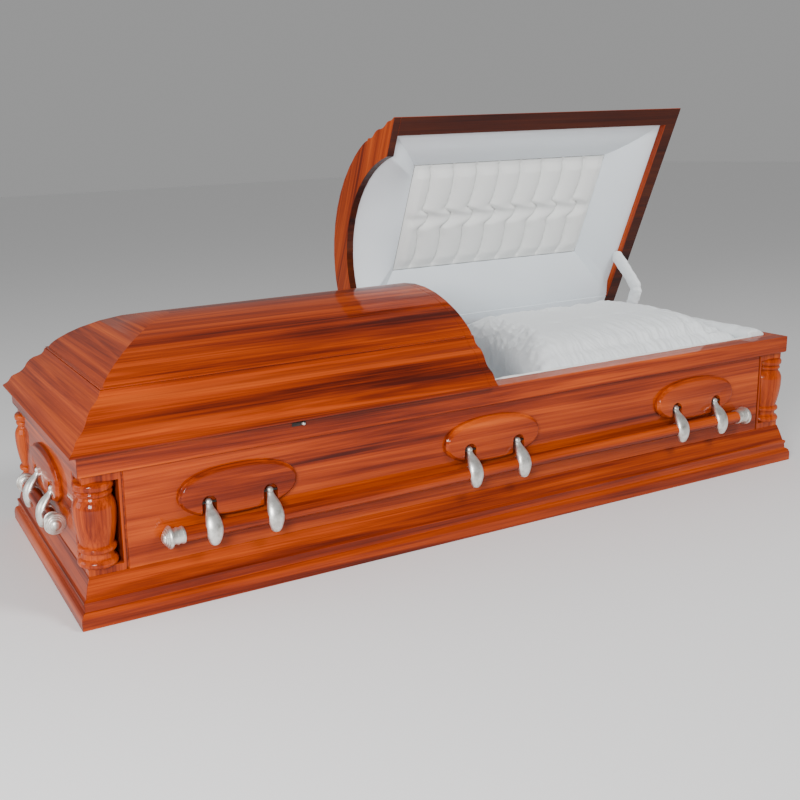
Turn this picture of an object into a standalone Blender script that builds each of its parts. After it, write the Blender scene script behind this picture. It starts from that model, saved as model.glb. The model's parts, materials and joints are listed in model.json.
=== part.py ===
# Wooden half-couch casket: two hinged lids, corner posts and swing-bar handles.
# Metres, +Z up. X runs along the casket with the head end at +X, and the front is -Y.
# The origin is on the floor, under the middle of the base. The head lid is modelled open.
import math

import bmesh
import bpy
from mathutils import Matrix, Vector

# The whole casket, and the gap left between pieces that touch
LENGTH = 2.130
WIDTH = 0.728
SEAT_HEIGHT = 0.371
GAP = 0.0003

# Base moulding: depth from the outer edge to its back, and the heights of its members
BASE_DEPTH = 0.0284
BASE_PLINTH = 0.018
BASE_SHOULDER = 0.036
BASE_FILLET = 0.048
BASE_NOSE = 0.057
BASE_HEIGHT = 0.104

# Box of boards that stands inside the base
PANEL_INSET = 0.029
PANEL_WALL = 0.018
BOTTOM_WALL = 0.018
SHADOW_GROOVE = 0.005

# Square niche at each corner, open on its two outer sides, and the turned post in it
NICHE_OPENING = 0.0775
NICHE_WALL = 0.006
NICHE_FLOOR = 0.120
NICHE_ROOF_DROP = 0.017
POST_INSET = 0.0585
POST_RADIUS = 0.047
POST_SIDES = 12

# Ledge on top of the boards, which the lids close on
LEDGE_INSET = 0.019
LEDGE_HEIGHT = 0.048
LEDGE_SIDE_WIDTH = 0.050
LEDGE_END_WIDTH = 0.028
LEDGE_ROUND = 0.007

# Lids: gap over the ledge, edge inset, gap at the split and heights above their own seat
LID_GAP = 0.0015
LID_INSET = 0.0013
SPLIT_GAP = 0.0016
LID_OPEN = math.radians(68.5)
RIM_SIDE_WIDTH = 0.053
RIM_END_WIDTH = 0.042
RIM_INNER_HEIGHT = 0.032
RIM_DEPTH = 0.101
RIM_HEIGHT = 0.109
CROWN_FOOT = 0.113
CROWN_STEP = 0.112
CROWN_SPRING = 0.120
CROWN_TOP = 0.214
CROWN_WALL = 0.014
ARCH_WALL = 0.022
ARCH_SPRING = 0.112
ARCH_RISE = 0.134

# Lining of a lid: a padded border round a panel that lies higher in the lid
LINING_LOW = 0.020
LINING_BACK_LOW = 0.0035
LINING_WALL = 0.010
PANEL_HIGH = 0.083
PANEL_SPLIT_EDGE = 0.159
PANEL_END_INSET = 0.175
PANEL_FRONT_INSET = 0.180
PANEL_BACK_INSET = 0.199
PUFF = 0.012
TUFT = 0.007
TUFT_COLUMNS = 9
TUFT_ROWS = 6
TUFT_STEPS = 3

# Lining and bed in the box, with their heights measured from the seat of the lids
CLOTH_WALL = 0.006
CLOTH_DROP = 0.005
MATTRESS_DROP = 0.131
BED_START = 0.130
BED_SLANT = 0.145
BED_ROLL = 0.060
BED_EDGE_DROP = 0.009
BED_RISE = 0.059
BOLSTER_INSET = 0.074
BOLSTER_BACK = 0.080
BOLSTER_RISE = 0.017

# Hinge strips behind the ledge
HINGE_RADIUS = 0.0044
HINGE_DROP = 0.0055
HINGE_LEAF = 0.002
HINGE_LEAF_HEIGHT = 0.028
HINGE_END_MARGIN = 0.060

# Folding stay at the head end, as (Y, height above the seat) with the lid open; its top is on the closed lid
STAY_FOOT = (0.232, -0.019)
STAY_ELBOW = (0.193, 0.0795)
STAY_TOP = (0.154, 0.0065)
STAY_THICKNESS = 0.007
STAY_WIDTH = 0.030
STAY_STUD = 0.004
STAY_EDGE = 0.0052

# Handle plaques and the slots in them
PLAQUE_PITCH_SHARE = 0.324
PLAQUE_RISE = 0.018
PLAQUE_HALF_LENGTH = 0.142
PLAQUE_HALF_HEIGHT = 0.0575
PLAQUE_THICKNESS = 0.014
PLAQUE_BEVEL = 0.006
PLAQUE_SIDES = 20
PLAQUE_ROUNDNESS = 2.25
SLOT_WIDTH = 0.034
SLOT_DROP = 0.0008

# Swing bars: pivot and bar centre measured outwards from the board, the pivot down from the seat
# of the lids and the bar down from the pivot
PIVOT_OUT = 0.009
PIVOT_DROP = 0.1505
PIN_RADIUS = 0.003
PIN_HALF_LENGTH = 0.102
ARM_OFFSET = 0.0735
BAR_OUT = 0.0255
BAR_DROP = 0.055
BAR_RADIUS = 0.0165
BAR_SIDES = 10
ARM_SIDES = 6
SIDE_BAR_OVERHANG = 0.1175
END_BAR_OVERHANG = 0.1015
COLLAR_WALL = 0.003
COLLAR_LENGTH = 0.022
CAP_RADIUS = 0.0252
CAP_LENGTH = 0.050
SLEEVE_RADIUS = 0.0185

# Small lock stud under the edge of the foot lid
CATCH_PLACE_SHARE = -0.2535
CATCH_HEIGHT = 0.0095
CATCH_LENGTH = 0.034
CATCH_STUD = 0.004
CATCH_REACH = 0.007

HALF_LENGTH = LENGTH / 2
HALF_WIDTH = WIDTH / 2
BOARD_X = HALF_LENGTH - PANEL_INSET
BOARD_Y = HALF_WIDTH - PANEL_INSET
NICHE_SIDE = NICHE_OPENING + NICHE_WALL
LEDGE_X = HALF_LENGTH - LEDGE_INSET
LEDGE_Y = HALF_WIDTH - LEDGE_INSET
LEDGE_BOTTOM = SEAT_HEIGHT - LEDGE_HEIGHT
LID_X = HALF_LENGTH - LID_INSET
LID_Y = HALF_WIDTH - LID_INSET
LID_Z = SEAT_HEIGHT + LID_GAP
NICHE_ROOF = LEDGE_BOTTOM - NICHE_ROOF_DROP
PANEL_END_EDGE = HALF_LENGTH - PANEL_END_INSET
PANEL_FRONT_EDGE = HALF_WIDTH - PANEL_FRONT_INSET
PANEL_BACK_EDGE = HALF_WIDTH - PANEL_BACK_INSET
CLOTH_TOP = SEAT_HEIGHT - CLOTH_DROP
MATTRESS_TOP = SEAT_HEIGHT - MATTRESS_DROP
BED_EDGE = SEAT_HEIGHT - BED_EDGE_DROP
BED_CROWN = SEAT_HEIGHT + BED_RISE
BOLSTER_FRONT = HALF_WIDTH - BOLSTER_INSET
BOLSTER_CREST = SEAT_HEIGHT + BOLSTER_RISE
PLAQUE_PITCH = LENGTH * PLAQUE_PITCH_SHARE
CATCH_PLACE = LENGTH * CATCH_PLACE_SHARE
PIVOT_HEIGHT = SEAT_HEIGHT - PIVOT_DROP
PLAQUE_HEIGHT = PIVOT_HEIGHT + PLAQUE_RISE
SLOT_HEIGHT = PIVOT_HEIGHT - SLOT_DROP
BAR_REACH = BAR_OUT - PIVOT_OUT
HINGE_Y = LEDGE_Y + GAP + HINGE_RADIUS
HINGE_Z = SEAT_HEIGHT - HINGE_DROP
CORNERS = [("foot_front", -1, -1), ("foot_back", -1, 1), ("head_front", 1, -1), ("head_back", 1, 1)]


def clear_scene():
    for obj in list(bpy.data.objects):
        bpy.data.objects.remove(obj, do_unlink=True)


def material(name, colour, roughness, metallic=0.0):
    made = bpy.data.materials.new(name)
    made.use_nodes = True
    shader = made.node_tree.nodes["Principled BSDF"]
    shader.inputs["Base Color"].default_value = (*colour, 1)
    shader.inputs["Roughness"].default_value = roughness
    shader.inputs["Metallic"].default_value = metallic
    made.diffuse_color = (*colour, 1)
    return made


# Adding objects

def add_mesh(name, mesh, look, pivot=None):
    """Adds an object; with a pivot empty, its mesh is already measured from that pivot."""
    obj = bpy.data.objects.new(name, mesh)
    bpy.context.scene.collection.objects.link(obj)
    if not mesh.materials:
        mesh.materials.append(look)
    if pivot:
        obj.parent = pivot
    return obj


def mesh_of(name, points, faces, smooth=0.0):
    """A closed mesh with its faces turned outwards; smooth is the sharpest angle left smooth."""
    made = bmesh.new()
    corners = [made.verts.new(point) for point in points]
    for face in faces:
        made.faces.new([corners[i] for i in face])
    bmesh.ops.remove_doubles(made, verts=made.verts, dist=1e-6)
    bmesh.ops.recalc_face_normals(made, faces=made.faces)
    mesh = bpy.data.meshes.new(name)
    made.to_mesh(mesh)
    made.free()
    if smooth:
        mesh.shade_smooth()
        mesh.set_sharp_from_angle(angle=smooth)
    return mesh


def moved(mesh, matrix):
    """A copy of the mesh with the matrix applied."""
    copy = mesh.copy()
    copy.transform(matrix)
    return copy


def axis_empty(name, place, turn=0.0):
    """An empty on a joint's axis, turned about X when the joint rests away from the modelled pose."""
    empty = bpy.data.objects.new(name, None)
    bpy.context.scene.collection.objects.link(empty)
    empty.location = place
    empty.rotation_euler = (turn, 0, 0)
    return empty


def boolean(base, cutter, operation):
    """The mesh that the Boolean leaves, with both helper objects removed again."""
    pair = [bpy.data.objects.new("helper", mesh) for mesh in (base, cutter)]
    for obj in pair:
        bpy.context.scene.collection.objects.link(obj)
    step = pair[0].modifiers.new("cut", "BOOLEAN")
    step.operation = operation
    step.solver = "EXACT"
    step.object = pair[1]
    graph = bpy.context.evaluated_depsgraph_get()
    result = bpy.data.meshes.new_from_object(pair[0].evaluated_get(graph))
    for obj in pair:
        bpy.data.objects.remove(obj, do_unlink=True)
    return result


# Shapes

def box_mesh(name, low, high):
    points = [(x, y, z) for x in (low[0], high[0]) for y in (low[1], high[1]) for z in (low[2], high[2])]
    faces = [(0, 1, 3, 2), (4, 6, 7, 5), (0, 4, 5, 1), (2, 3, 7, 6), (0, 2, 6, 4), (1, 5, 7, 3)]
    return mesh_of(name, points, faces)


def prism_mesh(name, outline, depth, axis):
    """An outline of (u, v) pairs extruded between two depths along axis 0, 1 or 2."""
    points = []
    for w in depth:
        for u, v in outline:
            point = [u, v]
            point.insert(axis, w)
            points.append(tuple(point))
    count = len(outline)
    faces = [tuple(range(count)), tuple(range(2 * count - 1, count - 1, -1))]
    faces += [(i, (i + 1) % count, (i + 1) % count + count, i + count) for i in range(count)]
    return mesh_of(name, points, faces)


def turned_mesh(name, profile, sides, axis=2, smooth=math.radians(35)):
    """A profile of (along, radius) pairs turned about one axis; a radius of 0 closes an end."""
    points, rings = [], []
    for along, radius in profile:
        ring = []
        for k in range(sides if radius else 1):
            angle = 2 * math.pi * (k + 0.5) / sides
            point = [radius * math.cos(angle), radius * math.sin(angle)]
            point.insert(axis, along)
            ring.append(len(points))
            points.append(tuple(point))
        rings.append(ring)
    faces = [tuple(ring) for ring in (rings[0], rings[-1]) if len(ring) > 1]
    for low, high in zip(rings, rings[1:]):
        for k in range(sides):
            after = (k + 1) % sides
            corners = [low[k % len(low)], low[after % len(low)], high[after % len(high)], high[k % len(high)]]
            faces.append(tuple(dict.fromkeys(corners)))
    return mesh_of(name, points, faces, smooth)


def bezier(start, control, end, steps):
    """Points of a quadratic curve, without its start."""
    curve = []
    for k in range(1, steps + 1):
        t = k / steps
        weights = ((1 - t) ** 2, 2 * t * (1 - t), t * t)
        curve.append(tuple(sum(w * p[i] for w, p in zip(weights, (start, control, end))) for i in (0, 1)))
    return curve


def mitred_mesh(name, outline, half_length, half_width, side, slope=1.0):
    """One length of moulding, mitred at both ends. The outline holds (inset, height) pairs.
    The slope is how fast the ends draw in as the inset grows: 1 for neighbours of equal width."""
    points = []
    for end in (-1, 1):
        for inset, height in outline:
            if side in ("front", "back"):
                x, y = half_length - slope * inset, half_width - inset
            else:
                x, y = half_length - inset, half_width - slope * inset
            points.append({"front": (end * x, -y, height), "back": (end * x, y, height),
                           "foot": (-x, end * y, height), "head": (x, end * y, height)}[side])
    count = len(outline)
    faces = [tuple(range(count)), tuple(range(count, 2 * count))]
    faces += [(i, (i + 1) % count, (i + 1) % count + count, i + count) for i in range(count)]
    return mesh_of(name, points, faces)


# The box

def base_outline():
    outline = [(GAP / 2, 0), (0, BASE_PLINTH)]
    outline += bezier((0, BASE_PLINTH), (0.0005, BASE_SHOULDER - 0.002), (0.010, BASE_SHOULDER), 4)
    outline += [(0.011, BASE_FILLET), (0.009, BASE_FILLET + 0.004), (0.009, BASE_NOSE), (0.015, BASE_NOSE + 0.003)]
    outline += bezier((0.015, BASE_NOSE + 0.003), (0.019, 0.078), (0.0265, BASE_HEIGHT - 0.003), 4)
    return outline + [(BASE_DEPTH - 0.0006, BASE_HEIGHT), (BASE_DEPTH, BASE_HEIGHT), (BASE_DEPTH, 0)]


def build_base(wood):
    for side in ("front", "back", "foot", "head"):
        mesh = mitred_mesh("base_moulding", base_outline(), HALF_LENGTH, HALF_WIDTH, side)
        add_mesh(f"base_moulding_{side}", mitre_gap(mesh, side), wood)


def mitre_gap(mesh, side):
    """Shortens a mitred length so that it clears its neighbours by the gap."""
    along = 0 if side in ("front", "back") else 1
    for vertex in mesh.vertices:
        vertex.co[along] -= math.copysign(GAP, vertex.co[along])
    return mesh


def build_boards(wood):
    inner_x, inner_y = BOARD_X - PANEL_WALL, BOARD_Y - PANEL_WALL
    long_end = BOARD_X - NICHE_SIDE - GAP
    short_end = BOARD_Y - NICHE_SIDE - GAP
    heights = (0, LEDGE_BOTTOM - GAP)
    for name, sign in (("front", -1), ("back", 1)):
        outline = board_outline(long_end, BOARD_Y, inner_y)
        add_mesh(f"side_panel_{name}", prism_mesh("side_panel", [(x, sign * y) for x, y in outline], heights, 2), wood)
    for name, sign in (("foot", -1), ("head", 1)):
        outline = board_outline(short_end, BOARD_X, inner_x)
        add_mesh(f"end_panel_{name}", prism_mesh("end_panel", [(sign * y, x) for x, y in outline], heights, 2), wood)
    floor = (inner_x - GAP, short_end)
    outline = [(long_end, -inner_y + GAP), (long_end, -floor[1]), (floor[0], -floor[1]), (floor[0], floor[1]),
               (long_end, floor[1]), (long_end, inner_y - GAP)]
    outline += [(-x, -y) for x, y in outline]
    add_mesh("bottom_board", prism_mesh("bottom_board", outline, (0, BOTTOM_WALL), 2), wood)


def board_outline(end, outer, inner):
    """Plan of a board: a shadow groove runs down each end of its outer face."""
    groove = end - SHADOW_GROOVE
    depth = outer - SHADOW_GROOVE
    half = [(end, inner), (end, depth), (groove, depth), (groove, outer)]
    return half + [(-x, y) for x, y in reversed(half)]


def build_niches(wood):
    for name, sx, sy in CORNERS:
        block = corner_box(sx, sy, (0, NICHE_SIDE), (0, LEDGE_BOTTOM - GAP))
        hollow = corner_box(sx, sy, (-NICHE_WALL, NICHE_OPENING), (NICHE_FLOOR, NICHE_ROOF))
        add_mesh(f"corner_niche_{name}", boolean(block, hollow, "DIFFERENCE"), wood)


def corner_box(sx, sy, depths, heights):
    """A box square in plan, between two depths behind the outer faces of a corner."""
    xs = sorted(sx * (BOARD_X - depth) for depth in depths)
    ys = sorted(sy * (BOARD_Y - depth) for depth in depths)
    return box_mesh("corner_box", (xs[0], ys[0], heights[0]), (xs[1], ys[1], heights[1]))


def post_profile():
    """Urn-shaped post, as (height, radius) from its foot up."""
    low, high = NICHE_FLOOR + GAP, NICHE_ROOF - GAP
    shares = [(0, 0.86), (0.03, 0.93), (0.07, 0.92), (0.11, 0.77), (0.16, 0.76), (0.185, 0.88), (0.225, 0.88),
              (0.255, 0.78), (0.36, 0.87), (0.50, 0.96), (0.63, 1.0), (0.73, 0.97), (0.80, 0.80), (0.86, 0.84),
              (0.90, 0.84), (0.95, 0.94), (1, 0.90)]
    return [(low + share * (high - low), size * POST_RADIUS) for share, size in shares]


def build_posts(wood):
    post = turned_mesh("corner_post", post_profile(), POST_SIDES)
    for name, sx, sy in CORNERS:
        place = Vector((sx * (HALF_LENGTH - POST_INSET), sy * (HALF_WIDTH - POST_INSET), 0))
        add_mesh(f"corner_post_{name}", post, wood).location = place


def build_ledge(wood):
    for side in ("front", "back", "foot", "head"):
        widths = [LEDGE_SIDE_WIDTH, LEDGE_END_WIDTH]
        if side in ("foot", "head"):
            widths.reverse()
        mesh = mitred_mesh("ledge", ledge_outline(widths[0]), LEDGE_X, LEDGE_Y, side, widths[1] / widths[0])
        add_mesh(f"ledge_{side}", mitre_gap(mesh, side), wood)


def ledge_outline(width):
    """Section of a ledge board as (inset, height), rounded along its lower outer edge."""
    rounded = bezier((LEDGE_ROUND, LEDGE_BOTTOM), (0, LEDGE_BOTTOM), (0, LEDGE_BOTTOM + LEDGE_ROUND), 3)
    return [(width, LEDGE_BOTTOM), (LEDGE_ROUND, LEDGE_BOTTOM), *rounded, (0, SEAT_HEIGHT), (width, SEAT_HEIGHT)]


# The lids, modelled closed. Outlines hold (inset, height above the lid's own seat).

def rim_outline():
    """Moulded rim from its flange up to the crown, as (inset, height)."""
    outline = [(0, 0), (0, 0.004)]
    outline += bezier((0, 0.004), (0.013, 0.012), (0.017, 0.022), 3)
    outline += bezier((0.017, 0.022), (0.021, 0.032), (0.031, 0.036), 3)
    outline += bezier((0.031, 0.036), (0.050, 0.046), (0.057, 0.067), 4)
    outline += bezier((0.057, 0.067), (0.068, 0.084), (0.082, 0.088), 3)
    outline += bezier((0.082, 0.088), (0.095, 0.093), (RIM_DEPTH - 0.002, RIM_HEIGHT), 3)
    return outline


def crown_outline():
    """Crown from its foot on the rim to the centre line."""
    foot = RIM_HEIGHT + GAP
    outline = [(RIM_DEPTH, foot), (RIM_DEPTH, CROWN_FOOT), (0.108, CROWN_FOOT + 0.001), (CROWN_STEP, CROWN_SPRING)]
    for k in (1, 2, 4, 6, 9, 12, 15, 18):
        t = (k / 18) ** 1.25
        rise = (1 - (1 - t) ** 2) ** 0.87
        outline.append((CROWN_STEP + t * (LID_Y - CROWN_STEP), CROWN_SPRING + rise * (CROWN_TOP - CROWN_SPRING)))
    return outline


def swept_points(outline, start):
    """Four stations round a lid for each (side inset, end inset, height): front, two corners, back."""
    points = []
    for side, end, height in outline:
        x, y, z = LID_X - end, LID_Y - side, LID_Z + height
        points += [(start, -y, z), (x, -y, z), (x, y, z), (start, y, z)]
    return points


def swept_faces(count, closed):
    faces = []
    for i in range(count if closed else count - 1):
        after = (i + 1) % count
        for station in range(3):
            faces.append((4 * i + station, 4 * i + station + 1, 4 * after + station + 1, 4 * after + station))
    return faces


def rim_mesh():
    start = SPLIT_GAP / 2 + ARCH_WALL + GAP
    outline = [(inset, inset, height) for inset, height in rim_outline()]
    back = RIM_DEPTH + CROWN_WALL
    outline += [(back, back, RIM_HEIGHT), (back, back, RIM_HEIGHT - CROWN_WALL),
                (RIM_SIDE_WIDTH, RIM_END_WIDTH, RIM_INNER_HEIGHT), (RIM_SIDE_WIDTH, RIM_END_WIDTH, 0)]
    count = len(outline)
    faces = swept_faces(count, True)
    faces += [tuple(4 * i for i in range(count)), tuple(4 * i + 3 for i in range(count))]
    return mesh_of("lid_rim", swept_points(outline, start), faces)


def crown_mesh():
    """Shell of the crown: an outer and an inner surface that meet along its foot and its split edge."""
    start = SPLIT_GAP / 2 + ARCH_WALL + GAP
    outer = crown_outline()
    inner = []
    for inset, height in outer:
        back = max(inset, RIM_DEPTH + CROWN_WALL)
        inner.append((back, RIM_HEIGHT + GAP if inset <= RIM_DEPTH else max(height - CROWN_WALL, RIM_HEIGHT + GAP)))
    inner = [point for i, point in enumerate(inner) if i in (0, *range(4, len(inner)))]
    outer_count, inner_count = len(outer), len(inner)
    shell = [(inset, inset, height) for inset, height in outer + inner]
    faces = swept_faces(outer_count, False)
    faces += [tuple(4 * outer_count + i for i in reversed(face)) for face in swept_faces(inner_count, False)]
    inner_foot = 4 * outer_count
    faces += [(i, inner_foot + i, inner_foot + i + 1, i + 1) for i in range(3)]
    for station in (0, 3):
        edge = [4 * i + station for i in range(outer_count)]
        edge += [inner_foot + 4 * i + station for i in reversed(range(inner_count))]
        faces.append(tuple(edge))
    return closed_shell("lid_crown", swept_points(shell, start), faces, outer_count, inner_count)


def closed_shell(name, points, faces, outer_count, inner_count):
    """Makes the crown's mesh with its two end faces joined into one across the centre line."""
    front, back = list(faces[-2]), list(faces[-1])
    ridge = {4 * (outer_count - 1), 4 * (outer_count - 1) + 3,
             4 * (outer_count + inner_count - 1), 4 * (outer_count + inner_count - 1) + 3}
    across = front[:outer_count] + [i for i in reversed(back[:outer_count]) if i not in ridge]
    across += [i for i in reversed(back[outer_count:])] + [i for i in front[outer_count:] if i not in ridge]
    kept = [tuple(dict.fromkeys(same_point(points, face))) for face in faces[:-2]]
    kept = [face for face in kept if len(face) > 2]
    return mesh_of(name, points, kept + [tuple(dict.fromkeys(same_point(points, across)))])


def same_point(points, face):
    """The face with each corner replaced by the first corner at the same place."""
    first = {}
    for i, point in enumerate(points):
        first.setdefault(tuple(round(value, 6) for value in point), i)
    return [first[tuple(round(value, 6) for value in points[i])] for i in face]


def arch_curve(steps):
    """Inner arc of the arch board, as (inset, height) from one springing to the centre."""
    half = LID_Y - ARCH_SPRING
    radius = (half ** 2 + ARCH_RISE ** 2) / (2 * ARCH_RISE)
    reach = math.asin(half / radius)
    curve = []
    for k in range(steps + 1):
        angle = reach * (1 - k / steps)
        curve.append((LID_Y - radius * math.sin(angle), ARCH_RISE - radius * (1 - math.cos(angle))))
    return curve


def arch_mesh():
    """Board across the lid's split end, cut out in an arc below."""
    front = rim_outline() + crown_outline()[1:]
    front = [(inset - LID_Y, LID_Z + height) for inset, height in front]
    arc = [(inset - LID_Y, LID_Z + height) for inset, height in arch_curve(8)]
    outline = front + [(-y, z) for y, z in reversed(front[:-1])]
    outline += [(-y, z) for y, z in arc] + [(y, z) for y, z in reversed(arc[:-1])]
    start = SPLIT_GAP / 2
    return prism_mesh("lid_arch", outline, (start, start + ARCH_WALL), 0)


def arch_height(y):
    """Height of the arch board's inner arc at a distance y from the centre line."""
    half = LID_Y - ARCH_SPRING
    if abs(y) >= half:
        return 0.0
    radius = (half ** 2 + ARCH_RISE ** 2) / (2 * ARCH_RISE)
    return ARCH_RISE - radius + math.sqrt(radius ** 2 - y ** 2)


def lining_loops():
    """The border's outer loop along the rim and its inner loop round the panel, point for point."""
    split = SPLIT_GAP / 2 + ARCH_WALL + 2 * GAP
    end = LID_X - RIM_END_WIDTH - 2 * GAP
    side = LID_Y - RIM_SIDE_WIDTH - 2 * GAP
    outer, inner = [], []
    for k in range(4):
        share = k / 4
        outer.append((split + share * (end - split), -side, LINING_LOW))
        inner.append((PANEL_SPLIT_EDGE + share * (PANEL_END_EDGE - PANEL_SPLIT_EDGE), -PANEL_FRONT_EDGE, PANEL_HIGH))
    for share in (0, 0.5, 0.93):
        outer.append((end, -side + 2 * side * share, LINING_LOW))
        inner.append((PANEL_END_EDGE, -PANEL_FRONT_EDGE + (PANEL_FRONT_EDGE + PANEL_BACK_EDGE) * share, PANEL_HIGH))
    for k in range(4):
        share = k / 4
        outer.append((end - share * (end - split), side, LINING_BACK_LOW))
        inner.append((PANEL_END_EDGE - share * (PANEL_END_EDGE - PANEL_SPLIT_EDGE), PANEL_BACK_EDGE, PANEL_HIGH))
    for k in range(10):
        share = k / 10
        y = side * (1 - 2 * share)
        outer.append((split, y, max(LINING_LOW, arch_height(y) + 0.004) if k else LINING_BACK_LOW))
        inner.append((PANEL_SPLIT_EDGE, PANEL_BACK_EDGE - (PANEL_FRONT_EDGE + PANEL_BACK_EDGE) * share, PANEL_HIGH))
    return outer, inner


def lining_mesh(name, closed):
    """Padded border of a lid. A closed one carries its panel as well."""
    outer, inner = lining_loops()
    count = len(outer)
    rows = []
    for t in (0, 0.5, 1):
        sag = PUFF * math.sin(math.pi * t)
        rows.append([tuple(a + t * (b - a) - (sag if i == 2 else 0) for i, (a, b) in enumerate(zip(p, q)))
                     for p, q in zip(outer, inner)])
    rows.append([(x, y, z + LINING_WALL) for x, y, z in inner])
    rows.append([(x, y, z + LINING_WALL) for x, y, z in outer])
    points = [(x, y, LID_Z + z) for row in rows for x, y, z in row]
    faces = []
    for i in range(len(rows)):
        if closed and i == 2:
            continue
        after = (i + 1) % len(rows)
        for k in range(count):
            faces.append((i * count + k, i * count + (k + 1) % count, after * count + (k + 1) % count, after * count + k))
    if closed:
        faces += [tuple(range(2 * count, 3 * count)), tuple(range(3 * count, 4 * count))]
    return mesh_of(name, points, faces)


def tufted_mesh():
    """Panel of upright padded channels in two rows, the lower row half a channel along."""
    edge = 4 * GAP
    low = (PANEL_SPLIT_EDGE + edge, -PANEL_FRONT_EDGE + edge)
    high = (PANEL_END_EDGE - edge, PANEL_BACK_EDGE - edge)
    columns, rows = TUFT_STEPS * TUFT_COLUMNS, TUFT_ROWS
    points, faces = [], []
    for i in range(rows + 1):
        v = i / rows
        for k in range(columns + 1):
            u = k / columns
            shift = 0.25 * (1 if v > 0.5 else -1)
            across = abs(math.sin(math.pi * (u * TUFT_COLUMNS + shift)))
            along = min(1.0, 6 * min(v, 1 - v, abs(v - 0.5) + 0.06))
            rim = min(1.0, 12 * min(u, 1 - u))
            drop = TUFT * across ** 0.6 * along * rim
            points.append((low[0] + u * (high[0] - low[0]), low[1] + v * (high[1] - low[1]), LID_Z + PANEL_HIGH - drop))
    width = columns + 1
    for i in range(rows):
        for k in range(columns):
            a = i * width + k
            faces.append((a, a + 1, a + width + 1, a + width))
    loop = list(range(width)) + [i * width + columns for i in range(1, rows + 1)]
    loop += [rows * width + k for k in range(columns - 1, -1, -1)] + [i * width for i in range(rows - 1, 0, -1)]
    top = len(points)
    points += [(points[i][0], points[i][1], LID_Z + PANEL_HIGH + LINING_WALL) for i in loop]
    faces += [(loop[k], loop[(k + 1) % len(loop)], top + (k + 1) % len(loop), top + k) for k in range(len(loop))]
    faces.append(tuple(range(top, len(points))))
    return mesh_of("lid_tufting", points, faces)


def build_lids(wood, cloth):
    to_hinge = Matrix.Translation((0, -HINGE_Y, -HINGE_Z))
    mirror = Matrix.Scale(-1, 4, (1, 0, 0))
    head = axis_empty("head_lid_axis", (0, HINGE_Y, HINGE_Z), -LID_OPEN)
    foot = axis_empty("foot_lid_axis", (0, HINGE_Y, HINGE_Z))
    pieces = [("rim", rim_mesh(), wood), ("crown", crown_mesh(), wood), ("arch", arch_mesh(), wood)]
    for piece, mesh, look in pieces:
        add_mesh(f"head_lid_{piece}", moved(mesh, to_hinge), look, head)
        add_mesh(f"foot_lid_{piece}", flipped(moved(mesh, to_hinge @ mirror)), look, foot)
    add_mesh("head_lid_lining", moved(lining_mesh("lid_lining", False), to_hinge), cloth, head)
    add_mesh("head_lid_tufting", moved(tufted_mesh(), to_hinge), cloth, head)
    add_mesh("foot_lid_lining", flipped(moved(lining_mesh("lid_lining", True), to_hinge @ mirror)), cloth, foot)


def flipped(mesh):
    """Turns the faces of a mirrored mesh outwards again."""
    mesh.flip_normals()
    return mesh


# Cloth in the box

def build_bed(cloth):
    outer_x = BOARD_X - NICHE_SIDE - 4 * GAP
    outer_y = LEDGE_Y - LEDGE_SIDE_WIDTH - 2 * GAP
    floor = BOTTOM_WALL + GAP
    ring = box_mesh("ring", (-outer_x, -outer_y, floor), (outer_x, outer_y, CLOTH_TOP))
    inner_x, inner_y = outer_x - CLOTH_WALL, outer_y - CLOTH_WALL
    hollow = box_mesh("hollow", (-inner_x, -inner_y, 0), (inner_x, inner_y, 2 * CLOTH_TOP))
    add_mesh("side_lining", boolean(ring, hollow, "DIFFERENCE"), cloth)
    bed_x, bed_y = inner_x - 2 * GAP, inner_y - 2 * GAP
    add_mesh("mattress", box_mesh("mattress", (-bed_x, -bed_y, floor + GAP), (bed_x, bed_y, MATTRESS_TOP)), cloth)
    add_mesh("bedding", bedding_mesh(bed_x, bed_y), cloth)
    add_mesh("head_bolster", bolster_mesh(outer_x), cloth)


def bedding_mesh(bed_x, bed_y):
    """Crowned bed cover, lowest along its sides. Its rounded foot end starts further back towards the rear."""
    columns, rows = 10, 8
    points, faces = [], []
    for i in range(rows + 1):
        v = 2 * i / rows - 1
        start = BED_START + BED_SLANT * math.sin(math.pi / 2 * min(1, (1 + v) / 1.3))
        for k in range(columns + 1):
            u = (k / columns) ** 1.6
            along = u * (bed_x - start)
            crown = (1 - abs(v) ** 3) * min(1, 5.0 * (1 - u) + 0.35)
            turned = max(0, 1 - along / BED_ROLL)
            drop = BED_ROLL * (1 - math.sqrt(1 - turned ** 2))
            points.append((start + along, v * bed_y, BED_EDGE + crown * (BED_CROWN - BED_EDGE) - drop))
    width = columns + 1
    for i in range(rows):
        for k in range(columns):
            a = i * width + k
            faces.append((a, a + 1, a + width + 1, a + width))
    loop = list(range(width)) + [i * width + columns for i in range(1, rows + 1)]
    loop += [rows * width + k for k in range(columns - 1, -1, -1)] + [i * width for i in range(rows - 1, 0, -1)]
    base = len(points)
    points += [(points[i][0], points[i][1], MATTRESS_TOP + GAP) for i in loop]
    faces += [(loop[k], loop[(k + 1) % len(loop)], base + (k + 1) % len(loop), base + k) for k in range(len(loop))]
    faces.append(tuple(range(base, len(points))))
    return mesh_of("bedding", points, faces, math.radians(40))


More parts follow.
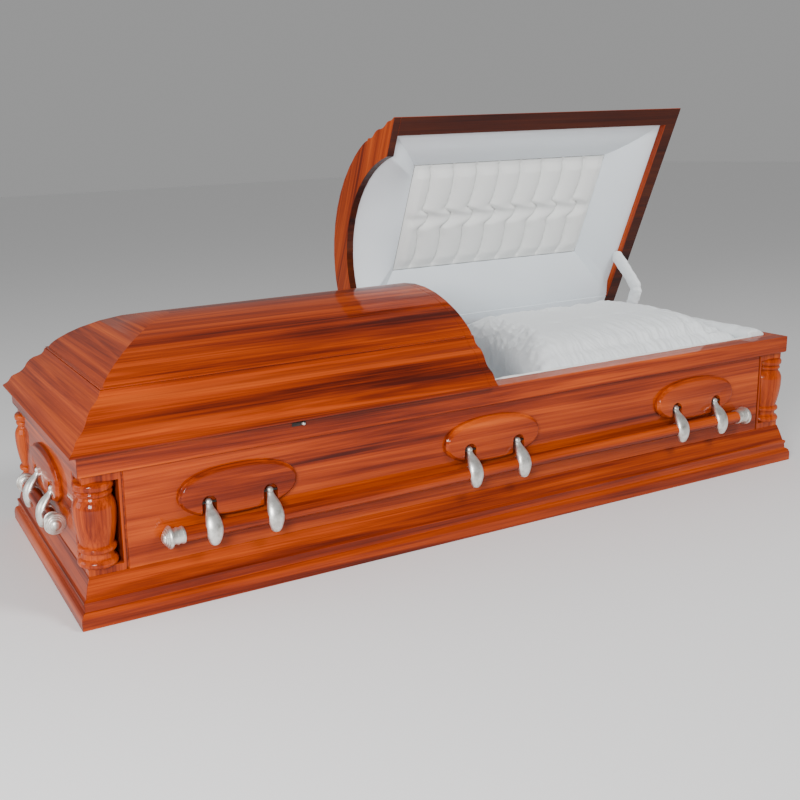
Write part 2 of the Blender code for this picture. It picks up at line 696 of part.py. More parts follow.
def bolster_mesh(start):
    """Padded roll along the head end, between the bed and the ledge."""
    low = LEDGE_BOTTOM + GAP
    inner, outer = start + 2 * GAP, LEDGE_X - LEDGE_END_WIDTH - 2 * GAP
    width = outer - inner
    outline = [(inner, low), (inner, BOLSTER_CREST - 0.006), (inner + 0.3 * width, BOLSTER_CREST),
               (inner + 0.6 * width, BOLSTER_CREST - 0.002), (inner + 0.85 * width, BOLSTER_CREST - 0.008),
               (outer, SEAT_HEIGHT + 0.003), (outer, low)]
    mesh = prism_mesh("head_bolster", outline, (-BOLSTER_FRONT, BOLSTER_BACK), 1)
    return mesh


# Hinges, stay and catch

def build_hinges(metal):
    leaf = box_mesh("leaf", (HINGE_END_MARGIN, LEDGE_Y + GAP, HINGE_Z - HINGE_LEAF_HEIGHT),
                    (LID_X - HINGE_END_MARGIN, LEDGE_Y + GAP + HINGE_LEAF, HINGE_Z))
    turned = turned_mesh("barrel", [(HINGE_END_MARGIN, HINGE_RADIUS), (LID_X - HINGE_END_MARGIN, HINGE_RADIUS)], 8, 0)
    barrel = moved(turned, Matrix.Translation((0, HINGE_Y, HINGE_Z)))
    strip = boolean(leaf, barrel, "UNION")
    add_mesh("hinge_head", strip, metal)
    add_mesh("hinge_foot", flipped(moved(strip, Matrix.Scale(-1, 4, (1, 0, 0)))), metal)


def opened(y, z):
    """Where a point of the closed head lid lies with the lid open, as (y, height)."""
    turn = Matrix.Rotation(-LID_OPEN, 2)
    return Vector((HINGE_Y, HINGE_Z)) + turn @ Vector((y - HINGE_Y, z - HINGE_Z))


def link_mesh(name, start, end, depth, stud):
    """A flat link with round ends, measured from its start, and a stud there along X."""
    reach = Vector(end) - Vector(start)
    heading = math.atan2(reach[1], reach[0])
    outline = []
    for centre, turn in ((Vector((0, 0)), math.pi / 2), (reach, -math.pi / 2)):
        for k in range(7):
            angle = heading + turn + math.pi * k / 6
            outline.append(tuple(centre + STAY_WIDTH / 2 * Vector((math.cos(angle), math.sin(angle)))))
    plate = prism_mesh(name, outline, depth, 0)
    return boolean(plate, turned_mesh("stud", [(stud[0], STAY_STUD), (stud[1], STAY_STUD)], 8, 0), "UNION")


def build_stay(metal):
    outside = LEDGE_X - LEDGE_END_WIDTH - STAY_EDGE
    lower = (outside - STAY_THICKNESS, outside)
    upper = (lower[0] - GAP - STAY_THICKNESS, lower[0] - GAP)
    foot, elbow, top = [(y, SEAT_HEIGHT + rise) for y, rise in (STAY_FOOT, STAY_ELBOW, STAY_TOP)]
    top = opened(*top)
    rail = LID_X - RIM_END_WIDTH - GAP
    foot_axis = axis_empty("stay_lower_axis", (0, *foot))
    top_axis = axis_empty("stay_upper_axis", (0, *top))
    foot_stud = (lower[0] + GAP, LEDGE_X - LEDGE_END_WIDTH - GAP)
    add_mesh("stay_lower", link_mesh("stay_lower", foot, elbow, lower, foot_stud), metal, foot_axis)
    add_mesh("stay_upper", link_mesh("stay_upper", top, elbow, upper, (upper[0] + GAP, rail)), metal, top_axis)


def build_catch(metal):
    height = SEAT_HEIGHT - CATCH_HEIGHT
    face = -LEDGE_Y - GAP
    plate = box_mesh("plate", (CATCH_PLACE - CATCH_LENGTH / 2, face - 0.0012, height - CATCH_STUD),
                     (CATCH_PLACE + CATCH_LENGTH / 2, face, height + CATCH_STUD))
    stud = turned_mesh("stud", [(-CATCH_REACH, 0.7 * CATCH_STUD), (-CATCH_REACH + 0.0015, CATCH_STUD), (-GAP, CATCH_STUD)],
                       8, 1)
    centre = Vector((CATCH_PLACE + CATCH_LENGTH / 2 - 1.5 * CATCH_STUD, face, height))
    add_mesh("lid_catch", boolean(plate, moved(stud, Matrix.Translation(centre)), "UNION"), metal)


# Handles, modelled for the front with X along the bar and -Y outwards from the board's face

def plaque_mesh():
    """Oval plaque with a stepped edge, two arched slots, and a groove behind for the pivot pin."""
    rings = [(0, 0), (0.45, 0), (0.85, 0.5), (1, 1)]
    points = []
    for share, inset in rings:
        for k in range(PLAQUE_SIDES):
            angle = 2 * math.pi * (k + 0.5) / PLAQUE_SIDES
            power = 2 / PLAQUE_ROUNDNESS
            across = math.copysign(abs(math.cos(angle)) ** power, math.cos(angle))
            up = math.copysign(abs(math.sin(angle)) ** power, math.sin(angle))
            points.append(((PLAQUE_HALF_LENGTH - inset * PLAQUE_BEVEL) * across, -share * PLAQUE_THICKNESS - GAP,
                           PLAQUE_HEIGHT + (PLAQUE_HALF_HEIGHT - inset * PLAQUE_BEVEL) * up))
    count = PLAQUE_SIDES
    faces = [tuple(range(count)), tuple(range((len(rings) - 1) * count, len(rings) * count))]
    for i in range(len(rings) - 1):
        faces += [(i * count + k, i * count + (k + 1) % count, (i + 1) * count + (k + 1) % count, (i + 1) * count + k)
                  for k in range(count)]
    mesh = mesh_of("plaque", points, faces)
    for side in (-1, 1):
        mesh = boolean(mesh, slot_mesh(side * ARM_OFFSET), "DIFFERENCE")
    reach, play = PIN_HALF_LENGTH + 2 * GAP, PIN_RADIUS + GAP
    groove = box_mesh("groove", (-reach, -PIVOT_OUT - play, PIVOT_HEIGHT - play), (reach, 0.01, PIVOT_HEIGHT + play))
    return boolean(mesh, groove, "DIFFERENCE")


def slot_mesh(centre):
    """Cutter for one slot: an arch that stays open at the plaque's lower edge."""
    radius = SLOT_WIDTH / 2
    arch = [(centre + radius * math.cos(math.pi * k / 6), SLOT_HEIGHT + radius * math.sin(math.pi * k / 6))
            for k in range(7)]
    bottom = PLAQUE_HEIGHT - 2 * PLAQUE_HALF_HEIGHT
    return prism_mesh("slot", arch + [(centre - radius, bottom), (centre + radius, bottom)],
                      (-2 * PLAQUE_THICKNESS, PLAQUE_THICKNESS), 1)


def arm_pod_mesh():
    """Leaf-shaped cast arm from its knob at the pivot to its tip below the bar, measured from the pivot."""
    levels = [(-0.0085, -0.001, 0, 0), (-0.0035, -0.001, 0.0075, 0.0068), (0.0045, 0.000, 0.0068, 0.0062),
              (0.014, 0.004, 0.0105, 0.0095), (0.025, 0.010, 0.0150, 0.0135), (0.038, 0.0155, 0.0178, 0.0165),
              (BAR_DROP - 0.003, BAR_REACH + 0.003, 0.0178, 0.0178),
              (BAR_DROP + 0.010, BAR_REACH + 0.006, 0.0160, 0.0168),
              (BAR_DROP + 0.022, BAR_REACH + 0.008, 0.0122, 0.0130),
              (BAR_DROP + 0.0305, BAR_REACH + 0.0085, 0.0076, 0.0080), (BAR_DROP + 0.0335, BAR_REACH + 0.0085, 0, 0)]
    sides = ARM_SIDES
    points, rings = [], []
    for down, out, half_width, half_depth in levels:
        ring = []
        for k in range(sides if half_width else 1):
            angle = 2 * math.pi * k / sides
            ring.append(len(points))
            points.append((half_width * math.cos(angle), -out + half_depth * math.sin(angle), -down))
        rings.append(ring)
    faces = []
    for low, high in zip(rings, rings[1:]):
        for k in range(sides):
            after = (k + 1) % sides
            corners = [low[k % len(low)], low[after % len(low)], high[after % len(high)], high[k % len(high)]]
            faces.append(tuple(dict.fromkeys(corners)))
    return mesh_of("arm", points, faces)


def arm_pair_mesh():
    """Two cast arms on their pivot pin, each bored for the bar, measured from the pivot."""
    to_bar = Matrix.Translation((0, -BAR_REACH, -BAR_DROP))
    arm = arm_pod_mesh()
    collar_end = COLLAR_LENGTH / 2
    collar_radius = BAR_RADIUS + GAP + COLLAR_WALL
    collar = turned_mesh("collar", [(-collar_end, collar_radius), (collar_end, collar_radius)], BAR_SIDES, 0)
    bore = turned_mesh("bore", [(-2 * collar_end, BAR_RADIUS + GAP), (2 * collar_end, BAR_RADIUS + GAP)], BAR_SIDES, 0)
    arm = boolean(arm, moved(collar, to_bar), "UNION")
    arm = boolean(arm, moved(bore, to_bar), "DIFFERENCE")
    pair = turned_mesh("pin", [(-PIN_HALF_LENGTH, PIN_RADIUS), (PIN_HALF_LENGTH, PIN_RADIUS)], ARM_SIDES, 0)
    for side in (-1, 1):
        pair = boolean(pair, moved(arm, Matrix.Translation((side * ARM_OFFSET, 0, 0))), "UNION")
    pair.shade_smooth()
    pair.set_sharp_from_angle(angle=math.radians(40))
    return pair


def bar_mesh(half_length):
    """Wooden bar with a stepped metal cap on each end, measured from the pivot."""
    cap = [(0, 0), (0.003, 0.42), (0.006, 0.62), (0.011, 0.80), (0.016, 0.99), (0.021, 0.99)]
    end = [(along - half_length, share * CAP_RADIUS) for along, share in cap]
    end += [(0.024 - half_length, SLEEVE_RADIUS), (CAP_LENGTH - half_length, SLEEVE_RADIUS),
            (CAP_LENGTH - half_length, BAR_RADIUS)]
    profile = end + [(-along, radius) for along, radius in reversed(end)]
    bar = turned_mesh("bar", profile, BAR_SIDES, 0)
    return moved(bar, Matrix.Translation((0, -BAR_REACH, -BAR_DROP)))


def build_handles(wood, metal):
    plaque, arms = plaque_mesh(), arm_pair_mesh()
    short_bar = bar_mesh(ARM_OFFSET + END_BAR_OVERHANG)
    long_bar = bar_mesh(PLAQUE_PITCH + ARM_OFFSET + SIDE_BAR_OVERHANG)
    sides = [("front", 0, BOARD_Y, (-1, 0, 1), long_bar), ("head", 1, BOARD_X, (0,), short_bar),
             ("back", 2, BOARD_Y, (-1, 0, 1), long_bar), ("foot", 3, BOARD_X, (0,), short_bar)]
    for side, quarter_turns, face, places, bar in sides:
        turn = Matrix.Rotation(quarter_turns * math.pi / 2, 4, "Z")
        axis = axis_empty(f"handle_{side}_axis", turn @ Vector((0, -face - PIVOT_OUT, PIVOT_HEIGHT)))
        add_mesh(f"bar_{side}", moved(bar, turn), wood, axis)
        for place in places:
            suffix = f"_{place + 2}" if len(places) > 1 else ""
            along = place * PLAQUE_PITCH
            on_board = turn @ Matrix.Translation((along, -face, 0))
            add_mesh(f"plaque_{side}{suffix}", moved(plaque, on_board), wood)
            on_axis = turn @ Matrix.Translation((along, 0, 0))
            add_mesh(f"arm_pair_{side}{suffix}", moved(arms, on_axis), metal, axis)


def main():
    clear_scene()
    wood = material("lacquered_wood", (0.36, 0.09, 0.03), 0.12)
    cloth = material("white_crepe", (0.86, 0.87, 0.88), 0.75)
    metal = material("satin_silver", (0.62, 0.62, 0.58), 0.32, 1.0)
    build_base(wood)
    build_boards(wood)
    build_niches(wood)
    build_posts(wood)
    build_ledge(wood)
    build_lids(wood, cloth)
    build_bed(cloth)
    build_hinges(metal)
    build_stay(metal)
    build_catch(metal)
    build_handles(wood, metal)


main()
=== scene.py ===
import json
import math

import bmesh
import bpy
from mathutils import Matrix, Vector, noise


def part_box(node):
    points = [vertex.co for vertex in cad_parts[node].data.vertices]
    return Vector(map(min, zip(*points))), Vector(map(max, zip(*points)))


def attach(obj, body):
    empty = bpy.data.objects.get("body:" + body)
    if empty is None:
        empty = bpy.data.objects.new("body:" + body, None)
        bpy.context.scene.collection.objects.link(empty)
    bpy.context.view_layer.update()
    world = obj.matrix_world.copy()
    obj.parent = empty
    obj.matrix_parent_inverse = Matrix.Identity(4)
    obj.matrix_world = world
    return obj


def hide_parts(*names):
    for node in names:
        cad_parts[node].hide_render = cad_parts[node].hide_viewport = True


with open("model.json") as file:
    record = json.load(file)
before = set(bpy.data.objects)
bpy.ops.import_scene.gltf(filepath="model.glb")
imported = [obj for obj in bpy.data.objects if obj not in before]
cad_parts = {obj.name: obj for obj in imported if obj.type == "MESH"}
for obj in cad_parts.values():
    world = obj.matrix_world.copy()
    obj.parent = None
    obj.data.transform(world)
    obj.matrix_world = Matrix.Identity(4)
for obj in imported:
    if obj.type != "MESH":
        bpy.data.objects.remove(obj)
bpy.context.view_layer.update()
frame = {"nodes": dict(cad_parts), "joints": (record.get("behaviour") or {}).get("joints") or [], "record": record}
nodes = frame["nodes"]
bodies = frame["record"]["behaviour"]["bodies"]
bodyOfNode = {node: body for body, members in bodies.items() for node in members}
lidHinge = next(joint for joint in frame["joints"] if joint["name"] == "head_lid_hinge")
hingeLine = Vector(lidHinge["pos_m"])
openAngle = math.radians(lidHinge["range_deg"][1])
openLid = Matrix.Translation(hingeLine) @ Matrix.Rotation(-openAngle, 4, "X") @ Matrix.Translation(-hingeLine)
print("frame loaded")

# camera

cameraValues = {
    "place": (-1.472, -2.223, 0.982),
    "aim": (0.733, 2.648, -0.143),
    "roll": -0.041,              # radians
    "focalPixels": 974.4,
    "axisPixel": (262.0, 346.6),  # where the lens axis meets the picture
    "picture": 800,
    "sensor": 36.0,
}


def addCamera(values):
    place = Vector(values["place"])
    forward = (Vector(values["aim"]) - place).normalized()
    right = forward.cross(Vector((0, 0, 1))).normalized()
    up = right.cross(forward)
    turn = values["roll"]
    right, up = math.cos(turn) * right + math.sin(turn) * up, math.cos(turn) * up - math.sin(turn) * right
    bpy.ops.object.camera_add(location=place)
    camera = bpy.context.object
    rows = Matrix((right, up, -forward)).transposed()
    camera.matrix_world = Matrix.Translation(place) @ rows.to_4x4()
    camera.data.sensor_width = values["sensor"]
    camera.data.lens = values["focalPixels"] / values["picture"] * values["sensor"]
    camera.data.shift_x = 0.5 - values["axisPixel"][0] / values["picture"]
    camera.data.shift_y = values["axisPixel"][1] / values["picture"] - 0.5
    bpy.context.scene.camera = camera


addCamera(cameraValues)
print("camera placed")

# shader maths


class Socket:
    def __init__(self, finish, end):
        self.finish = finish
        self.end = end

    def maths(self, operation, first, second):
        return self.finish.add("ShaderNodeMath", {"operation": operation}, {0: first, 1: second})

    def __add__(self, other):
        return self.maths("ADD", self, other)

    __radd__ = __add__

    def __sub__(self, other):
        return self.maths("SUBTRACT", self, other)

    def __rsub__(self, other):
        return self.maths("SUBTRACT", other, self)

    def __mul__(self, other):
        return self.maths("MULTIPLY", self, other)

    __rmul__ = __mul__

    def __pow__(self, other):
        return self.maths("POWER", self, other)


class Finish:
    def __init__(self, name):
        self.material = bpy.data.materials.new(name)
        self.material.use_nodes = True
        self.tree = self.material.node_tree
        self.shader = self.tree.nodes["Principled BSDF"]

    def add(self, kind, settings, sockets, output=0):
        node = self.tree.nodes.new(kind)
        for key, value in settings.items():
            if key == "stops":
                ramp = node.color_ramp
                while len(ramp.elements) < len(value):
                    ramp.elements.new(0.5)
                for element, (place, colour) in zip(ramp.elements, value):
                    element.position = place
                    element.color = (*colour, 1)
            else:
                setattr(node, key, value)
        for key, value in sockets.items():
            self.feed(node.inputs[key], value)
        return Socket(self, node.outputs[output])

    def feed(self, entry, value):
        if isinstance(value, Socket):
            self.tree.links.new(value.end, entry)
        else:
            entry.default_value = value

    def shade(self, **values):
        for key, value in values.items():
            label = {"colour": "Base Color", "coat": "Coat Weight", "coatRoughness": "Coat Roughness",
                     "gloss": "Specular IOR Level",
                     "sheen": "Sheen Weight", "sheenRoughness": "Sheen Roughness"}.get(key, key.capitalize())
            self.feed(self.shader.inputs[label], value)
        return self.material

    def mix(self, share, first, second):
        return self.add("ShaderNodeMix", {"data_type": "RGBA"}, {0: share, 6: first, 7: second}, 2)


# finishes

lacquerValues = {
    "stops": [(0.30, (0.060, 0.0050, 0.0014)), (0.41, (0.170, 0.0160, 0.0022)),
              (0.51, (0.300, 0.0350, 0.0032)), (0.61, (0.430, 0.0600, 0.0050)),
              (0.74, (0.580, 0.0980, 0.0080))],
    "along": 0.6,        # streaks per metre along the grain
    "across": 27.0,      # streaks per metre across it
    "fine": 9.0,         # how much finer the pores are than the streaks
    "shorter": 5.0,      # how much shorter they are
    "knots": 1.5,
    "shares": (0.92, 0.30, 0.26),      # of streaks, knots and pores in the figure
    "level": 0.235,
    "roughness": 0.45,
    "gloss": 0.05,
    "coat": 0.40,
    "coatRoughness": 0.035,
}


def redLacquer(name, values, shade=1.0):
    finish = Finish(name)
    board = finish.add("ShaderNodeAttribute", {"attribute_name": "grain"}, {}, 1)
    along, across, fine = values["along"], values["across"], values["across"] * values["fine"]
    stretched = finish.add("ShaderNodeMapping", {}, {0: board, 3: (along, across, across)})
    pores = finish.add("ShaderNodeMapping", {}, {0: board, 3: (along * values["shorter"], fine, fine)})
    wander = finish.add("ShaderNodeTexNoise", {}, {"Vector": board, "Scale": values["knots"], "Detail": 2.0})
    streaks = finish.add("ShaderNodeTexNoise", {}, {"Vector": stretched, "Scale": 1.0, "Detail": 5.0,
                                                    "Roughness": 0.66, "Distortion": 0.7})
    lines = finish.add("ShaderNodeTexNoise", {}, {"Vector": pores, "Scale": 1.0, "Detail": 3.0,
                                                  "Roughness": 0.6})
    ofStreaks, ofKnots, ofPores = values["shares"]
    figure = streaks * ofStreaks + wander * ofKnots + lines * ofPores - values["level"]
    stops = [(place, tuple(shade * part for part in colour)) for place, colour in values["stops"]]
    colour = finish.add("ShaderNodeValToRGB", {"stops": stops}, {0: figure})
    return finish.shade(colour=colour, roughness=values["roughness"], gloss=values["gloss"],
                        coat=values["coat"], coatRoughness=values["coatRoughness"])


def whiteCrepe(name, colour, weave, depth):
    finish = Finish(name)
    place = finish.add("ShaderNodeTexCoord", {}, {}, 3)
    threads = finish.add("ShaderNodeTexNoise", {}, {"Vector": place, "Scale": weave, "Detail": 3.0,
                                                    "Roughness": 0.7})
    cloudy = finish.add("ShaderNodeTexNoise", {}, {"Vector": place, "Scale": 5.0, "Detail": 2.0})
    darker = tuple(0.93 * part for part in colour)
    tint = finish.mix(cloudy, (*darker, 1), (*colour, 1))
    bump = finish.add("ShaderNodeBump", {}, {"Strength": depth, "Distance": 0.001, "Height": threads})
    return finish.shade(colour=tint, roughness=0.78, sheen=0.25, sheenRoughness=0.4, normal=bump)


def antiqueSilver(name):
    finish = Finish(name)
    place = finish.add("ShaderNodeTexCoord", {}, {}, 3)
    tarnish = finish.add("ShaderNodeTexNoise", {}, {"Vector": place, "Scale": 55.0, "Detail": 4.0,
                                                    "Roughness": 0.6})
    stops = [(0.28, (0.50, 0.48, 0.43)), (0.56, (0.86, 0.85, 0.81))]
    colour = finish.add("ShaderNodeValToRGB", {"stops": stops}, {0: tarnish})
    return finish.shade(colour=colour, metallic=0.9, roughness=0.34 + tarnish * 0.12)


lacquer = redLacquer("redLacquer", lacquerValues)
# a darker copy of the lacquer, painted on the lids' undersides as painted shade
undersideLacquer = redLacquer("undersideLacquer", lacquerValues, 0.15)
crepe = whiteCrepe("whiteCrepe", (0.78, 0.83, 0.87), 700.0, 0.20)
satin = whiteCrepe("whiteSatin", (0.86, 0.87, 0.85), 1400.0, 0.08)
ruched = whiteCrepe("ruchedCrepe", (0.86, 0.89, 0.90), 420.0, 0.45)
silver = antiqueSilver("antiqueSilver")
# a near-black finish for the pin and the catch's set-back faces: painted shade where they lie in the slot
darkPlate = Finish("darkPlate").shade(colour=(0.035, 0.030, 0.028, 1), metallic=0.6, roughness=0.35)
print("finishes made")

# common steps


def pickOnly(piece):
    if bpy.context.mode != "OBJECT":
        bpy.ops.object.mode_set(mode="OBJECT")
    bpy.ops.object.select_all(action="DESELECT")
    piece.select_set(True)
    bpy.context.view_layer.objects.active = piece


def applyModifiers(piece):
    pickOnly(piece)
    for modifier in list(piece.modifiers):
        bpy.ops.object.modifier_apply(modifier=modifier.name)


def placeBy(piece, matrix):
    pickOnly(piece)
    piece.matrix_world = matrix @ piece.matrix_world
    bpy.ops.object.transform_apply(location=True, rotation=True, scale=True)
    return piece


def copyPiece(piece, name, matrix=None):
    pickOnly(piece)
    bpy.ops.object.duplicate()
    copy = bpy.context.object
    copy.name = name
    copy.data = copy.data.copy() if copy.data.users > 1 else copy.data
    copy.data.name = name
    copy.hide_render = False
    copy.hide_viewport = False
    if matrix:
        placeBy(copy, matrix)
    return copy


def bevelEdges(piece, width, segments, degrees):
    bevel = piece.modifiers.new("edges", "BEVEL")
    bevel.width = width
    bevel.segments = segments
    bevel.limit_method = "ANGLE"
    bevel.angle_limit = math.radians(degrees)
    applyModifiers(piece)


def faceOut(piece):
    pickOnly(piece)
    bpy.ops.object.mode_set(mode="EDIT")
    bpy.ops.mesh.select_all(action="SELECT")
    bpy.ops.mesh.normals_make_consistent(inside=False)
    bpy.ops.object.mode_set(mode="OBJECT")


def grainAxis(side):
    return "Y" if side in ("foot", "head") else "X"


def smoothShade(piece, degrees):
    pickOnly(piece)
    bpy.ops.object.shade_smooth_by_angle(angle=math.radians(degrees))


def paint(piece, finish):
    piece.data.materials.clear()
    piece.data.materials.append(finish)


def settle(piece, body, slot, *stoodFor):
    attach(piece, body)
    if stoodFor:
        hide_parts(*stoodFor)
    return piece


def grainAlong(piece, choose, closed=None, family=""):
    # choose(point, normal) gives the axis that the grain runs along; closed takes the open lid back
    layer = piece.data.attributes.new("grain", "FLOAT_VECTOR", "CORNER")
    shift = 3.7 * (sum(ord(letter) for letter in family or piece.name) % 97) / 97
    back = closed or Matrix.Identity(4)
    points = [back @ vertex.co for vertex in piece.data.vertices]
    for face in piece.data.polygons:
        axis = choose(back @ face.center, face.normal)
        order = {"X": (0, 1, 2), "Y": (1, 0, 2), "Z": (2, 0, 1)}[axis]
        for loop in face.loop_indices:
            point = points[piece.data.loops[loop].vertex_index]
            layer.data[loop].vector = (point[order[0]] + shift, point[order[1]], point[order[2]] + shift)


# boards, mouldings and lids, finished from the frame's own solids

woodValues = {
    "edge": 0.0009,       # softened edges
    "archEdge": 0.0005,
    "smooth": 32,
    "halfLength": 1.065,
    "halfWidth": 0.364,
}


def cleanCopy(name, ending):
    piece = copyPiece(nodes[name], name + ending)
    bpy.ops.object.mode_set(mode="EDIT")
    bpy.ops.mesh.select_all(action="SELECT")
    bpy.ops.mesh.remove_doubles(threshold=0.00001)
    bpy.ops.mesh.dissolve_limited(angle_limit=math.radians(0.4))
    bpy.ops.object.mode_set(mode="OBJECT")
    return piece


def finishBoard(name, choose, edge, closed=None, family=""):
    board = cleanCopy(name, "_finished")
    bevelEdges(board, edge, 2, woodValues["smooth"])
    smoothShade(board, woodValues["smooth"])
    weigh = board.modifiers.new("weigh", "WEIGHTED_NORMAL")
    weigh.keep_sharp = True
    applyModifiers(board)
    paint(board, lacquer)
    if family:       # a lid's underside is painted darker than its outside, as painted shade
        board.data.materials.append(undersideLacquer)
        back = (closed or Matrix.Identity(4)).to_3x3()
        for face in board.data.polygons:
            face.material_index = 1 if (back @ face.normal).z < -0.6 else 0
    grainAlong(board, choose, closed, family)
    return settle(board, bodyOfNode[name], "lacquered_wood", name)


def roundTheBox(point, normal):
    fromEnd = woodValues["halfLength"] - abs(point.x)
    fromSide = woodValues["halfWidth"] - abs(point.y)
    return "Y" if fromEnd < fromSide else "X"


def acrossTheArch(point, normal):
    return "Y" if abs(normal.x) > 0.7 else "X"


def buildWood():
    edge = woodValues["edge"]
    for name in sorted(nodes):
        if name.startswith(("base_moulding", "ledge", "end_panel")):
            along = grainAxis(name.split("_")[-1])
            finishBoard(name, lambda point, normal, along=along: along, edge)
        elif name.startswith(("side_panel", "bottom")):
            finishBoard(name, lambda point, normal: "X", edge)
        elif name.startswith("corner_niche"):
            finishBoard(name, lambda point, normal: "Z" if 0.12 < point.z < 0.306 else "X", edge)
    for lid, closed in (("head_lid", openLid.inverted()), ("foot_lid", None)):
        finishBoard(lid + "_rim", roundTheBox, edge, closed, lid)
        finishBoard(lid + "_crown", roundTheBox, edge, closed, lid)
        finishBoard(lid + "_arch", acrossTheArch, woodValues["archEdge"], closed, lid)
    print("wood finished")


buildWood()

# turned work


def spun(name, profile, steps=40):
    # profile holds (height, radius); a closed ring repeats its first point at its end
    bpy.ops.object.select_all(action="DESELECT")
    bpy.ops.mesh.primitive_plane_add(size=0.01)
    piece = bpy.context.object
    piece.name = name
    bpy.ops.object.mode_set(mode="EDIT")
    bpy.ops.mesh.select_all(action="SELECT")
    bpy.ops.mesh.merge(type="CENTER")
    start = Vector((profile[0][1], 0, profile[0][0]))
    bpy.ops.transform.translate(value=start)
    for (height, radius), (nextHeight, nextRadius) in zip(profile, profile[1:]):
        step = (nextRadius - radius, 0, nextHeight - height)
        bpy.ops.mesh.extrude_vertices_move(TRANSFORM_OT_translate={"value": step})
    bpy.ops.mesh.select_all(action="SELECT")
    bpy.ops.mesh.spin(steps=steps, angle=2 * math.pi, center=(0, 0, 0), axis=(0, 0, 1))
    bpy.ops.mesh.select_all(action="SELECT")
    bpy.ops.mesh.remove_doubles(threshold=0.00001)
    bpy.ops.mesh.normals_make_consistent(inside=False)
    bpy.ops.object.mode_set(mode="OBJECT")
    return piece


def curveThrough(points, steps):
    # a smooth line through the points, each stretch bent by the points on either side of it
    padded = [points[0]] + list(points) + [points[-1]]
    line = []
    for a, b, c, d in zip(padded, padded[1:], padded[2:], padded[3:]):
        for k in range(steps):
            t = k / steps
            line.append(tuple(0.5 * (2 * q + (r - p) * t + (2 * p - 5 * q + 4 * r - s) * t ** 2
                                     + (3 * q - p - 3 * r + s) * t ** 3) for p, q, r, s in zip(a, b, c, d)))
    return line + [tuple(points[-1])]


postValues = {
    "low": 0.1203,
    "high": 0.3057,
    "radius": 0.0468,
    "foot": [(0, 0.84), (0.012, 0.91), (0.035, 0.945), (0.060, 0.93), (0.085, 0.86)],
    "neck": [(0.095, 0.77), (0.13, 0.745), (0.165, 0.77)],
    "ring": [(0.172, 0.84), (0.185, 0.89), (0.205, 0.905), (0.225, 0.89), (0.238, 0.84)],
    "urn": [(0.245, 0.77), (0.27, 0.79), (0.36, 0.87), (0.50, 0.96), (0.63, 1.0), (0.72, 0.985), (0.78, 0.89),
            (0.805, 0.82), (0.83, 0.78)],
    "bead": [(0.838, 0.82), (0.850, 0.865), (0.872, 0.875), (0.890, 0.85), (0.900, 0.82)],
    "head": [(0.908, 0.86), (0.925, 0.925), (0.955, 0.945), (0.985, 0.92), (1.0, 0.86)],
}


def buildPosts(values):
    height = values["high"] - values["low"]
    profile = [(values["low"], 0.0)]
    for member in ("foot", "neck", "ring", "urn", "bead", "head"):
        line = curveThrough(values[member], 3)
        profile += [(values["low"] + share * height, size * values["radius"]) for share, size in line]
    profile.append((values["high"], 0.0))
    model = spun("post", profile, 48)
    smoothShade(model, 40)
    for name in [node for node in nodes if node.startswith("corner_post")]:
        low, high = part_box(name)
        middle = (low + high) / 2
        post = copyPiece(model, name + "_turned", Matrix.Translation((middle.x, middle.y, 0)))
        paint(post, lacquer)
        grainAlong(post, lambda point, normal: "Z")
        settle(post, bodyOfNode[name], "lacquered_wood", name)
    bpy.data.objects.remove(model)
    print("corner posts turned")


buildPosts(postValues)

# plaques

plaqueValues = {
    "halfLength": 0.142,
    "halfHeight": 0.0575,
    "height": 0.2385,
    "roundness": 2.25,
    "sides": 96,
    # the face's steps: how far out, how far in from the edge
    "steps": [(0.0003, 0.0), (0.0068, 0.0), (0.0078, 0.0012), (0.0092, 0.0026), (0.0115, 0.0044),
              (0.0131, 0.0056), (0.0140, 0.0074), (0.0142, 0.0092)],
    "arm": 0.0735,
    "slotWidth": 0.034,
    "slotTop": 0.2197,
    "pinOut": 0.009,
    "pinHeight": 0.2205,
    "pinReach": 0.1026,
    "pinPlay": 0.0033,
    "edge": 0.0007,
}


def quarterTurns(side):
    return {"front": 0, "head": 1, "back": 2, "foot": 3}[side]


def handleFrame(side, along=0.0):
    # the front panel's outer face at the given place along it, turned to another side
    low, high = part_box({"front": "side_panel_front", "back": "side_panel_front",
                        "foot": "end_panel_foot", "head": "end_panel_foot"}[side])
    face = -low.y if side in ("front", "back") else -low.x
    turn = Matrix.Rotation(quarterTurns(side) * math.pi / 2, 4, "Z")
    return turn @ Matrix.Translation((along, -face, 0))


def cutBy(piece, cutter):
    cut = piece.modifiers.new("cut", "BOOLEAN")
    cut.operation = "DIFFERENCE"
    cut.solver = "EXACT"
    cut.object = cutter
    applyModifiers(piece)
    bpy.data.objects.remove(cutter)


